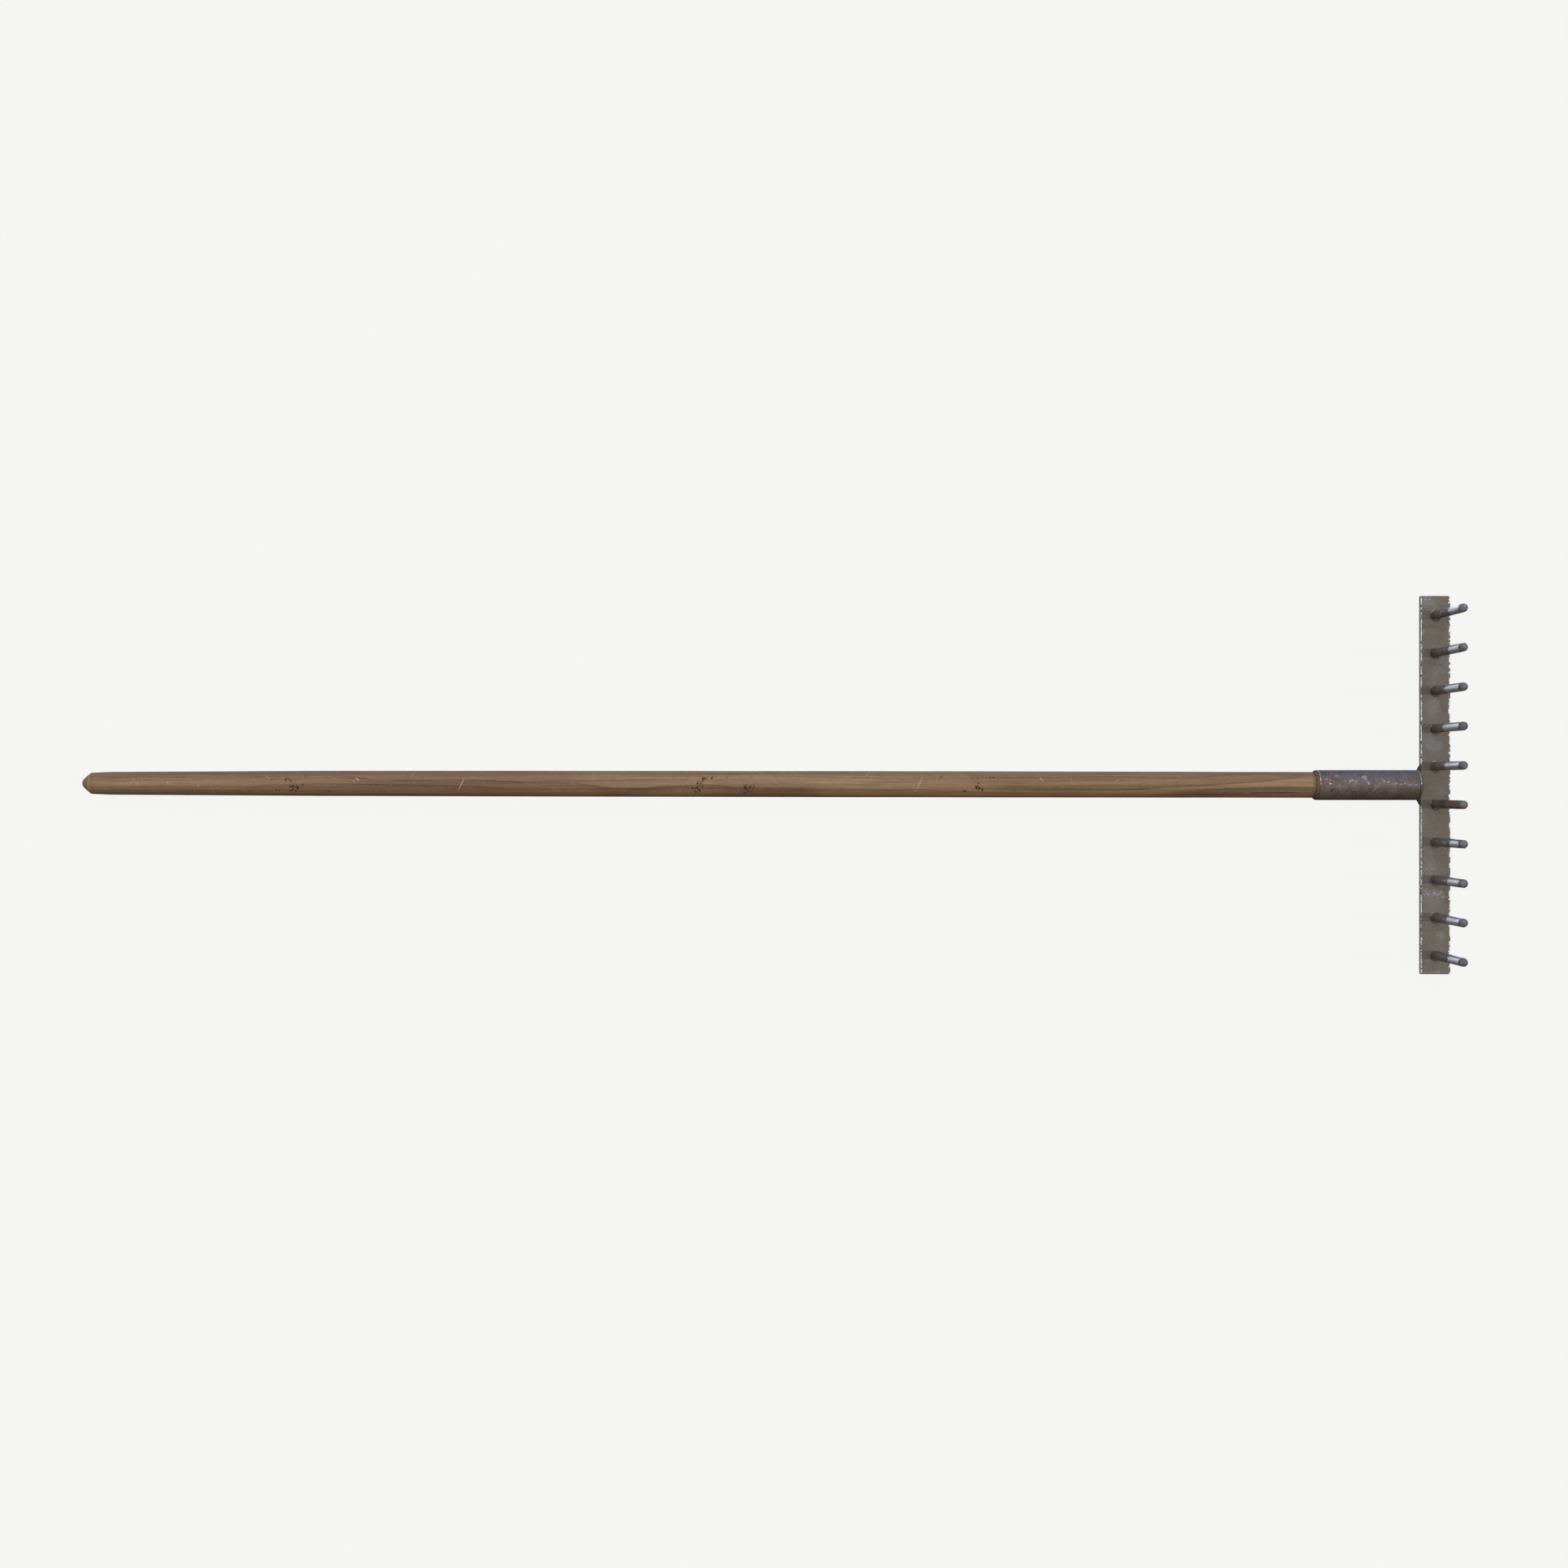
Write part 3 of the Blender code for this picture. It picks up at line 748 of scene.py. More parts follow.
# Places where the paint is gone to the dark metal
PIPE_HOLES = (
    (15.7, -6.6, 2, 1.4, 0, 1), (17.3, -4.8, 1.2, 1, 0, 1), (6.3, -2.8, 1, 1.6, 0, 0.6),
)
# Darker and bluer stains of the pipe
PIPE_STAINS = (
    (9.5, 12.8, 6, 2.4, 0, 0.65, (50, 58, 78)), (26.5, 13.4, 8, 2.2, 0, 0.45, (58, 64, 82)),
    (17.5, 8, 4, 3, 0, 0.4, (64, 60, 66)), (41.5, -8, 5, 2.4, 0, 0.45, (62, 46, 44)),
    (83.5, 9, 12, 4, 0, 0.3, (76, 66, 62)), (49.5, -3, 5, 3, 0, 0.25, (66, 54, 50)),
)


def around_x(places, radii, sides, shape=None):
    """Rings about the rake's axis. shape(x, angle, radius) may change each point's radius."""
    angle = all_round(sides)
    x, t = np.meshgrid(np.asarray(places, float), angle, indexing="ij")
    r = np.repeat(np.asarray(radii, float)[:, None], sides, 1)
    if shape is not None:
        r = shape(x, t, r)
    return np.stack([x, r * np.sin(t), AXIS_Z + r * np.cos(t)], -1)


def dip(x, t, at, across, size):
    """1 in the middle of a dent on the tube's upper side, 0 away from it."""
    turn = turn_from(t, across, TUBE_RADIUS)
    return np.exp(-(((x - at) / size) ** 2) - (turn * TUBE_RADIUS / size) ** 2)


def make_tube(paint):
    inside = np.linspace(TUBE_HI[0], MOUTH_X + 0.0004, 12)
    profile = [(x, SOCKET_BORE) for x in inside]
    for i in range(1, 9):
        a = math.pi / 2 * i / 8
        wall = TUBE_RADIUS - SOCKET_BORE
        profile.append((MOUTH_X + MOUTH_ROUND * (1 - math.cos(a)), SOCKET_BORE + wall * math.sin(a)))
    start = MOUTH_X + MOUTH_ROUND
    profile += [(start + 0.00025 * i, TUBE_RADIUS) for i in range(1, 8)]
    body = np.arange(start + 0.0026, TUBE_HI[0] - 0.0012, 0.00095)
    profile += [(x, TUBE_RADIUS) for x in body]
    profile += [
        (TUBE_HI[0] - 0.0008, TUBE_RADIUS),
        (TUBE_HI[0] - 0.0004, TUBE_RADIUS - 0.00008),
        (TUBE_HI[0], TUBE_RADIUS - 0.0004),
    ]

    def shape(x, t, r):
        outer = r > SOCKET_BORE + 0.0005
        groove = np.exp(-(((x - start - 0.0001) / 0.0003) ** 2)) * 0.00022
        round_it = t * TUBE_RADIUS
        uneven = 0.00005 * wander2(x, round_it, 0.006, 21) + 0.00004 * wander2(x, round_it, 0.0015, 22)
        edge = wander(round_it, 0.0011, 23) * np.exp(-(((x - start - 0.0007) / 0.0005) ** 2)) * 0.00016
        dents = sum(
            depth * MM * dip(x, t, MOUTH_X + at * MM, across * MM, size * MM)
            for at, across, size, depth in TUBE_DENTS
        )
        return r - np.where(outer, groove + uneven + edge + dents, 0)

    xs = [p[0] for p in profile]
    rs = [p[1] for p in profile]
    obj = solid("socket_pipe", around_x(xs, rs, TUBE_SIDES, shape), loop=True)
    # The countersunk hole for the screw, underneath
    head = SCREW_HI[0] - SCREW_LO[0]
    x, z = (SCREW_LO[0] + SCREW_HI[0]) / 2, SCREW_LO[2]
    shank = 0.0023
    deep = head / 2 - shank + 0.0003
    profile = [(head / 2 + 0.0023, z - 0.002), (shank, z + deep), (shank, z + 0.0052)]
    cut_away(obj, [turned_z("countersink", profile, x, 0, 32)], 38)
    return finished(obj, "socket_tube", paint)


def make_cap(paint):
    """The disc that closes the pipe, with the bead that was laid round it."""
    length = CAP_HI[0] - CAP_LO[0]
    xs, rs = [CAP_LO[0], CAP_LO[0]], [TUBE_RADIUS * 0.5, TUBE_RADIUS - 0.0005]
    for i in range(13):
        a = math.pi / 2 * i / 12
        xs.append(CAP_LO[0] + 0.0003 + (length - 0.0003) * math.sin(a))
        rs.append(TUBE_RADIUS - 0.00008 - 0.0056 * (1 - math.cos(a)))
    xs += [CAP_HI[0]]
    rs += [TUBE_RADIUS * 0.5]

    def shape(x, t, r):
        bead = np.exp(-(((x - CAP_LO[0] - 0.0019) / 0.0011) ** 2)) * (r > TUBE_RADIUS * 0.6)
        ripple = 0.5 + 0.5 * np.sin(t * 46 + 2 * np.sin(t * 3))
        return r - bead * (0.00022 * ripple + 0.00018 * wander(t * TUBE_RADIUS, 0.003, 31, True))

    disc = solid("socket_disc", around_x(xs, rs, TUBE_SIDES, shape), 50)
    return finished(disc, "socket_end_cap", paint)


def socket_material():
    g, done, p, x, y, z = new_material("socket_paint_worn")
    up = g.ease(z, AXIS_Z, AXIS_Z + 0.003)
    cloud = g.noise(p, 95, 4, 0.6)
    mottle = g.noise(p, 420, 4, 0.65)
    grit = g.noise(p, 1500, 3, 0.6)

    color = g.tones(cloud, 0.38, 0.62, (92, 80, 73), (106, 99, 98))
    color = g.toned(
        color,
        (mottle, 0.48, 0.68, 0.66, (74, 62, 56)),
        (mottle, 0.45, 0.3, 0.5, (138, 130, 132)),
        (grit, 0.54, 0.7, 0.6, (58, 49, 46)),
        (grit, 0.43, 0.3, 0.5, (146, 137, 136)),
        # Painted shade: darker and browner towards −Y
        (y, 0.001, -0.011, 0.46, (66, 57, 49)),
    )
    late = g.times(g.ease(y, 0.002, -0.006), g.ease(x, 0.69, 0.712), g.ease(cloud, 0.2, 0.5, 0.6, 1))
    color = g.over(color, (80, 72, 58), late, 0.55)
    # Painted light: a bluish tint on the +Y side, where the light comes from
    painted_blue_light = g.times(g.ease(y, 0.003, 0.012), g.ease(cloud, 0.38, 0.55))
    color = g.over(color, (76, 82, 100), painted_blue_light, 0.5)

    # Rust from the mouth inwards, and in a few blooms
    off = g.minus(x, MOUTH_X)
    ragged = g.plus(off, g.sway(cloud, 0.03))
    near_mouth = g.ease(ragged, 0.025, 0.004)
    bloom = g.ease(g.noise(p, 60, 4, 0.6), 0.62, 0.74)
    rust = g.times(g.most(near_mouth, g.times(bloom, 0.6)), g.ease(mottle, 0.3, 0.6))
    rust_color = g.tones(grit, 0.3, 0.7, (92, 74, 58), (112, 84, 60))
    color = g.mix(g.times(rust, 0.85), color, rust_color)

    # The rounded mouth is brown, the line behind it is dark, and bright steel shows on its +Y half: worn
    # steel and a painted highlight
    lip = g.ease(off, MOUTH_ROUND + 0.0002, MOUTH_ROUND - 0.0006)
    brown = g.tones(mottle, 0.35, 0.65, (84, 70, 58), (108, 92, 80))
    color = g.mix(g.times(lip, 0.9), color, brown)
    line = g.band(off, 0.0022, 0.0027, 0.0031, 0.0036)
    color = g.over(color, (40, 38, 38), line, 0.88)
    rim = g.band(off, 0.0034, 0.0037, 0.0042, 0.0046)
    lit_half = g.ease(y, 0, 0.002)
    broken = g.ease(g.noise(p, 520, 2, 0.7), 0.46, 0.54)
    chip = g.times(rim, lit_half, broken)
    # The edge beside the disc, bright on its +Y half only: worn steel and a painted highlight
    back = g.minus(TUBE_HI[0], x)
    ring = g.band(back, -0.0002, -0.0006, -0.0015, -0.0021)
    ragged_ring = g.ease(g.noise(p, 420, 2, 0.7), 0.43, 0.5)
    chip = g.most(chip, g.times(ring, g.ease(y, 0.0002, 0.002), ragged_ring))

    # Chips and light scuffs on the upper side
    wobble = g.sway(mottle, 0.004)
    wx, wy = g.plus(off, wobble), g.plus(y, wobble)
    scuffed = g.times(g.spots(wx, wy, SCUFFS), up, g.ease(grit, 0.34, 0.54))
    color = g.over(color, (186, 186, 198), scuffed)
    threads = g.hairlines(p, ((260, 2400, 2400), 0.9, 0.72, 0.8), ((260, 2400, 2400), -0.7, 0.73, 0.8))
    color = g.over(color, (160, 154, 158), threads, 0.38)
    stars = g.ease(g.cells(p, 330), 0.16, 0.08)
    color = g.over(color, (156, 150, 154), stars, g.ease(cloud, 0.45, 0.6), 0.35)

    holes = g.ease(g.spots(wx, wy, PIPE_HOLES), 0.15, 0.5)
    color = g.over(color, (30, 36, 44), holes, up, 0.88)
    color = g.stained(color, wx, wy, PIPE_STAINS, up, g.ease(mottle, 0.3, 0.55))

    # Brown bead, and painted shade where the disc meets the bar
    disc = g.ease(x, CAP_LO[0] + 0.0006, CAP_LO[0] + 0.0012)
    color = g.over(color, (88, 77, 69), disc, 0.7)
    painted_joint_shade = g.ease(x, CAP_HI[0] - 0.0007, CAP_HI[0] - 0.0002)
    color = g.over(color, (36, 33, 32), painted_joint_shade, 0.9)

    color = g.mix(chip, color, (0.82, 0.83, 0.88, 1))

    bare = g.most(chip, g.times(scuffed, 0.5))
    rough = g.blend(g.ease(mottle, 0.3, 0.7), 0.46, 0.62)
    rough = g.blend(rust, rough, 0.8)
    rough = g.blend(bare, rough, 0.34)
    metal = g.times(bare, 0.6)
    height = g.plus(g.times(mottle, 0.6), g.times(grit, 0.4))
    height = g.minus(height, g.times(g.most(threads, chip), 0.4))
    normal = g.bump(height, 0.0003, 0.45)
    return done(Base_Color=color, Roughness=rough, Metallic=metal, Normal=normal)


# ---- head bar

BAR_ROUND = 0.0003
CORNERS = ((1, 1), (-1, 1), (-1, -1), (1, -1))
HOLE_CUT = HOLE_RADIUS - 0.00018
HOLE_RIM = 0.0003
CHIP_SLOPE = 0.75  # how much of a chip's depth goes to each of its two faces


# Bluish worn areas and brown stains, from the bar's middle
BAR_STAINS = (
    (-7, 203, 10, 8, 0, 0.75, (124, 122, 122)), (-2, 170, 10, 6, 0, 0.4, (120, 116, 113)),
    (-4, 86, 12, 17, 0, 0.7, (117, 115, 115)), (-3, 46, 14, 14, 0, 0.85, (118, 118, 121)),
    (-4, -87, 11, 9, 0, 0.45, (120, 116, 112)), (-2, -128, 14, 8, 0, 0.6, (122, 119, 117)),
    (6, -166, 8, 7, 0, 0.45, (120, 116, 112)), (-3, 123, 11, 10, 0, 0.35, (116, 112, 108)),
    (8, 84, 6, 6, 0, 0.65, (98, 86, 66)), (10, 202, 9, 9, 0, 0.75, (104, 86, 72)),
    (12, 180, 6, 6, 0, 0.75, (88, 68, 58)), (-15, 174, 2.2, 5, 0, 0.85, (96, 66, 52)),
    (14, 24, 4, 8, 0, 0.6, (100, 78, 60)), (14, -124, 4, 8, 0, 0.55, (92, 74, 62)),
    (-14.5, -199, 2.4, 8, 0, 0.8, (94, 72, 60)), (0, 20, 13, 6, 0, 0.4, (102, 91, 76)),
    (1, -40, 14, 16, 0, 0.35, (104, 96, 86)),
)
# Rubbed places where specks of the metal show
BAR_RUBS = (
    (-3, -120, 15, 5.5, 0, 1), (-10, -116.5, 6, 3.6, 0, 0.8), (7, -124, 8, 2.8, 0, 0.9),
    (-10, 206.5, 6, 3.5, 0, 0.75), (-13, 170, 2.6, 4, 0, 0.6), (-6, 56, 9, 10, 0, 0.3),
    (-4, 90, 9, 14, 0, 0.3), (-6, -93, 10, 10, 0, 0.42), (6, -166, 7, 6, 0, 0.45),
    (-2, -207, 13, 2.2, 0, 0.5), (3, 127, 10, 10, 0, 0.26),
)
# Long thin scratches
BAR_SCRATCHES = (
    (4, 56, 6, 0.22, -0.85, 0.5), (1, 57, 5, 0.2, -0.7, 0.4), (-9, 43, 6, 0.22, -1.1, 0.45),
    (-2, 93, 7, 0.22, 0.9, 0.45), (1, 96, 7, 0.2, 1, 0.35), (3, -8, 5, 0.2, 0.6, 0.25),
)


def bar_outline():
    """The bar's cross-section: x and z from its middle, and the distance of each point to its corner."""
    half_x = (BAR_HI[0] - BAR_LO[0]) / 2
    half_z = (BAR_HI[2] - BAR_LO[2]) / 2
    steps = (0, 0.0004, 0.0009, 0.0014, 0.002, 0.0028, 0.0042, 0.0065, 0.0095, 0.013)
    side = (0, 0.0005, 0.0011, 0.0018)
    outline = []
    for corner, (sx, sz) in enumerate(CORNERS):
        flat_first = corner % 2 == 1
        coming, going = (steps, side) if flat_first else (side, steps)
        cx, cz = sx * (half_x - BAR_ROUND), sz * (half_z - BAR_ROUND)
        first = 90 * corner

        def put(degrees, gap=0, way=0):
            a = math.radians(first + degrees)
            x = cx + BAR_ROUND * math.cos(a) + way * math.sin(a) * gap
            z = cz + BAR_ROUND * math.sin(a) - way * math.cos(a) * gap
            outline.append((x, z, gap, corner))

        for gap in reversed(coming[1:]):
            put(0, gap, 1)
        for i in range(5):
            put(90 * i / 4)
        for gap in going[1:]:
            put(90, gap, -1)
    return np.array(outline)


# Each long corner: how far chips reach over the faces, how deep, how much of the corner stays whole
CHIPS = ((2.6, 0.5, 0.4), (1.9, 0.32, 0.32), (1.2, 0.14, 0.6), (1.4, 0.3, 0.5))


def make_bar():
    outline = bar_outline()
    half_y = (BAR_HI[1] - BAR_LO[1]) / 2
    count = 700
    y = np.linspace(-half_y + BAR_ROUND, half_y - BAR_ROUND, count)
    ends = BAR_ROUND * (1 - np.cos(np.linspace(0, math.pi / 2, 4)))
    places = np.concatenate([-half_y + ends[:-1], y, (half_y - ends[:-1])[::-1]])
    inset = np.zeros(len(places))
    inset[:3] = BAR_ROUND * (1 - np.sin(np.linspace(0, math.pi / 2, 4)[:-1]))
    inset[-3:] = inset[:3][::-1]
    rings = np.zeros((len(places), len(outline), 3))
    chips = np.zeros((len(places), len(outline)))
    half = np.array([outline[:, 0].max(), outline[:, 1].max()])
    for j, (ox, oz, gap, corner) in enumerate(outline):
        corner = int(corner)
        reach, depth, whole = CHIPS[corner]
        reach, depth = reach * MM, depth * MM
        broad = wander(places + 0.5, 0.0076, 50 + corner, True)
        mid = wander(places + 0.5, 0.0023, 60 + corner)
        fine = wander(places + 0.5, 0.001, 70 + corner)
        amount = step_up(0.34 * broad + 0.33 * mid + 0.33 * fine, whole, whole + 0.16)
        near_end = np.minimum(places + half_y, half_y - places)
        if corner == 1:
            # The weld and the painted shade beside it cover this corner near the pipe
            amount = amount * step_up(np.abs(places), 0.0225, 0.0255)
        amount = np.maximum(amount, 0.8 * step_up(-near_end, -0.003, -0.0006) * step_up(mid, 0.2, 0.5))
        width = reach * (0.22 + 0.78 * wander(places + 0.5, 0.0011, 80 + corner) ** 1.5)
        over = gap * (0.35 if corner == 0 and abs(ox) > half[0] - 1e-6 else 1)
        share = amount * np.clip(1 - over / width, 0, 1)
        # Uneven rolled faces, never proud of the solid
        wave = 0.00006 * wander2(places + 0.5, np.full_like(places, ox + 0.1), 0.011, 90)
        sx, sz = CORNERS[corner]
        px = ox * (1 - inset / half[0]) - sx * depth * share * CHIP_SLOPE
        lower = depth * share * CHIP_SLOPE + (wave if abs(oz) > half[1] - 1e-6 else 0)
        pz = oz * (1 - inset / half[1]) - sz * lower
        rings[:, j] = np.stack([BAR_X + px, places, AXIS_Z + pz], 1)
        chips[:, j] = share
    obj = solid("bar_strip", rings)
    mark(obj, "chip", chips)
    cutters = []
    for k, ty in enumerate(TINE_Y):
        profile = [
            (HOLE_CUT + HOLE_RIM + 0.002, BAR_FACE + 0.002),
            (HOLE_CUT, BAR_FACE - HOLE_RIM),
            (HOLE_CUT, BAR_LO[2] - 0.002),
        ]
        cutters.append(turned_z(f"hole_{k}", profile, BAR_X, ty, 40))
    cut_away(obj, cutters, 34)
    return finished(obj, "head_bar", bar_material())


def bar_material():
    g, done, p, x, y, z = new_material("bar_paint_worn")
    mid = g.minus(x, BAR_X)
    cloud = g.noise(p, 60, 4, 0.6)
    patch = g.noise(p, 19, 3, 0.55, 0.4)
    mottle = g.noise(p, 260, 4, 0.65)
    grit = g.noise(p, 900, 3, 0.65)
    fine = g.noise(p, 2200, 2, 0.6)
    face = g.ease(z, BAR_FACE - 0.001, BAR_FACE - 0.0004)

    color = g.tones(patch, 0.4, 0.6, (101, 93, 82), (108, 102, 95))
    color = g.toned(
        color,
        (cloud, 0.5, 0.7, 0.45, (98, 88, 75)),
        (cloud, 0.47, 0.3, 0.45, (116, 113, 111)),
        (mottle, 0.52, 0.72, 0.36, (92, 83, 74)),
        (mottle, 0.43, 0.26, 0.3, (136, 130, 124)),
        (grit, 0.56, 0.72, 0.36, (86, 77, 69)),
        (grit, 0.42, 0.28, 0.26, (144, 138, 131)),
        (fine, 0.6, 0.75, 0.3, (76, 68, 62)),
    )

    # Distance from the nearest tine along the bar
    count = g.times(g.minus(y, TINE_Y[-1] - TINE_PITCH / 2), 1 / TINE_PITCH)
    across = g.times(g.minus(g.math("FRACT", count), 0.5), TINE_PITCH)

    wobble = g.sway(cloud, 0.014)
    sx, sy = g.plus(mid, wobble), g.plus(y, g.times(wobble, 1.3))
    color = g.stained(color, sx, sy, BAR_STAINS, g.ease(mottle, 0.28, 0.62, 0.4, 1))
    rust = g.noise(p, 75, 5, 0.62)
    outer = g.times(g.ease(x, BAR_X + 0.004, BAR_X + 0.016), 0.06)
    bloom = g.ease(g.plus(rust, outer), 0.61, 0.72)
    color = g.over(color, (98, 80, 66), bloom, 0.34)
    spots = g.times(g.ease(g.cells(p, 150), 0.13, 0.05), g.ease(cloud, 0.4, 0.6))
    color = g.over(color, (76, 58, 48), spots, 0.55)
    color = g.over(color, (58, 50, 44), g.spot(mid, y, 1.2, 50.4, 1.1, 1.1), 0.8)

    # Rubbed places where specks of the metal show
    wobble = g.sway(mottle, 0.006)
    wx, wy = g.plus(mid, wobble), g.plus(y, wobble)
    rubbed = g.spots(wx, wy, BAR_RUBS)
    color = g.over(color, (126, 122, 121), rubbed, 0.42)
    specks = g.plus(g.streaks(p, (520, 760, 600), 3, 0.7), g.times(rubbed, 0.13))
    flecks = g.ease(specks, 0.62, 0.72)
    rubbed = g.times(g.ease(rubbed, 0, 0.5), flecks, face)
    color = g.over(color, (184, 181, 182), rubbed, 0.78)
    threads = g.hairlines(p, ((180, 1900, 1900), 1, 0.72, 0.8), ((180, 1900, 1900), -0.6, 0.73, 0.8))
    color = g.over(color, (156, 150, 145), threads, 0.34)
    color = g.stained(color, mid, y, [(*row, (176, 174, 176)) for row in BAR_SCRATCHES], face)

    # The edge faces are dark and bluish
    edge_face = g.times(g.minus(1, face), g.ease(z, BAR_LO[2] + 0.0003, BAR_LO[2] + 0.0008))
    color = g.over(color, (74, 77, 84), edge_face, 0.8)
    # The inner edge face is rubbed to a pale blue along its back, and in broken dashes along its front
    from_middle = g.math("ABSOLUTE", y)
    inner = g.ease(x, BAR_LO[0] + 0.0012, BAR_LO[0] + 0.0004)
    inner = g.times(edge_face, inner, g.ease(from_middle, 0.0215, 0.0245))
    dash = g.ease(g.streaks(p, (300, 420, 300), 3, 0.6), 0.49, 0.54)
    back = g.ease(z, BAR_LO[2] + 0.0022, BAR_LO[2] + 0.0012)
    back = g.times(inner, back, g.ease(patch, 0.36, 0.52, 0.35, 0.85))
    front = g.times(inner, g.ease(z, BAR_FACE - 0.0022, BAR_FACE - 0.001), dash)
    color = g.over(color, (146, 156, 172), back)
    color = g.mix(g.times(front, 0.9), color, (0.72, 0.75, 0.8, 1))
    # Dark rusty lines along the two short edges
    off = g.minus(BAR_HI[1], from_middle)
    short = g.times(g.ease(off, 0.0012, 0.0005), g.ease(g.noise(p, 260, 2), 0.4, 0.5))
    color = g.over(color, (64, 50, 44), short, 0.8)

    # Bright steel in the chips along the edges and round the holes
    chip = g.plus(g.mark("chip"), g.sway(g.noise(p, 1300, 2, 0.6), 0.75))
    bare = g.ease(chip, 0.17, 0.3)
    reach = g.vector("LENGTH", g.join(mid, across, 0), output="Value")
    past = g.minus(reach, HOLE_RADIUS)
    rim = g.band(past, 0.0002, 0.0004, 0.0006, 0.0009)
    side = g.minus(mid, g.times(g.math("ABSOLUTE", across), 0.35))
    rim = g.times(rim, g.ease(g.noise(p, 190, 2), 0.52, 0.58))
    rim = g.times(rim, g.ease(side, -0.001, -0.003), g.ease(across, 0.0006, 0.0022))
    # Painted shadow: a dark crescent round each hole, shifted to the −Y side of the tine
    low = g.vector("LENGTH", g.join(mid, g.plus(across, 0.001), 0), output="Value")
    painted_tine_shadow = g.ease(low, HOLE_RADIUS + 0.002, HOLE_RADIUS + 0.0003)
    color = g.over(color, (52, 45, 40), painted_tine_shadow, 0.72)
    dark_chip = g.times(bare, g.ease(g.noise(p, 210, 3, 0.6), 0.55, 0.62))
    bare = g.most(bare, g.times(rim, face, 0.8))
    color = g.mix(bare, color, (0.82, 0.85, 0.9, 1))
    color = g.over(color, (66, 44, 36), dark_chip, 0.9)

    bare = g.times(bare, g.minus(1, dark_chip))
    rough = g.blend(g.ease(mottle, 0.3, 0.7), 0.52, 0.68)
    rough = g.blend(bloom, rough, 0.85)
    rough = g.blend(bare, rough, 0.4)
    metal = g.times(bare, 0.25)
    height = g.plus(g.times(mottle, 0.6), g.times(grit, 0.4))
    height = g.minus(height, g.times(g.most(threads, rubbed), 0.4))
    normal = g.bump(height, 0.0003, 0.4)
    return done(Base_Color=color, Roughness=rough, Metallic=metal, Normal=normal)


# ---- tines

TINE_SIDES = 56
CROWN = 0.0022  # height of the rounded tip
PURPLE_TIP_FROM = 0.0868  # height over the bar where the tip's purple-grey starts
# For each tine, the height over the bar where the bare steel starts. One of them is brown all the way
TINE_STEEL = (56, 56, 45, 38, 44, 48, 60, 53, 49, 53)
BROWN_TINE = 5
# Chips down to the steel on some of them: beside the middle, height, half sizes
TINE_FLECKS = {
    0: ((1, 33, 0.7, 2.2), (-1, 30, 0.5, 1.6)),
    1: ((1.2, 42, 0.5, 1.6),),
    2: ((0, 42, 0.8, 3),),
    6: ((0.7, 45, 0.8, 2.6), (-1.2, 44, 0.6, 2), (0.4, 39, 0.6, 1.6)),
    7: ((0.8, 45, 0.9, 2.6), (0.2, 38, 0.6, 1.8), (-1.6, 50, 0.8, 2)),
    8: ((0.6, 40, 0.6, 2),),
}


def make_tine(index):
    lo, hi = TINE_BOXES[index]
    y = TINE_Y[index]
    rim = hi[2] - CROWN
    angle = all_round(TINE_SIDES)
    heights = [lo[2], lo[2] + 0.0004]
    radii = [TINE_RADIUS - 0.0004, TINE_RADIUS]
    for h in np.arange(lo[2] + 0.0012, rim - 0.0008, 0.00135):
        heights.append(h)
        radii.append(TINE_RADIUS)
    heights += [rim - 0.0006, rim - 0.0002, rim + 0.0001]
    radii += [TINE_RADIUS, TINE_RADIUS - 0.00004, TINE_RADIUS - 0.00022]
    for share in (0.88, 0.74, 0.58, 0.4, 0.2):
        radii.append(TINE_RADIUS * share)
        heights.append(rim + CROWN * (1 - share**2))
    h, t = np.meshgrid(np.array(heights), angle, indexing="ij")
    r = np.repeat(np.array(radii)[:, None], TINE_SIDES, 1)
    # The tip was drawn down on the anvil, which left eight soft flats
    flat = math.pi / 8
    turn = 0.21 * index
    octagon = math.cos(flat) / np.cos((t + turn) % (2 * flat) - flat)
    drawn = 0.75 * step_up(h, rim - 0.016, rim - 0.001)
    hollow = 0.00008 * wander2(h, t * TINE_RADIUS, 0.0024, 100 + index)
    hollow += 0.00005 * wander2(h, t * TINE_RADIUS, 0.0009, 120 + index)
    shaft = (h > lo[2] + 0.001) & (h < rim - 0.0004)
    r = r * (1 - drawn * (1 - octagon)) - np.where(shaft, hollow, 0)
    x = BAR_X + r * np.cos(t)
    rings = np.stack([x, y + r * np.sin(t), h], -1)
    rod = solid(f"rod_{index + 1:02d}", rings, 48)
    return finished(rod, TINES[index], tine_material(index))


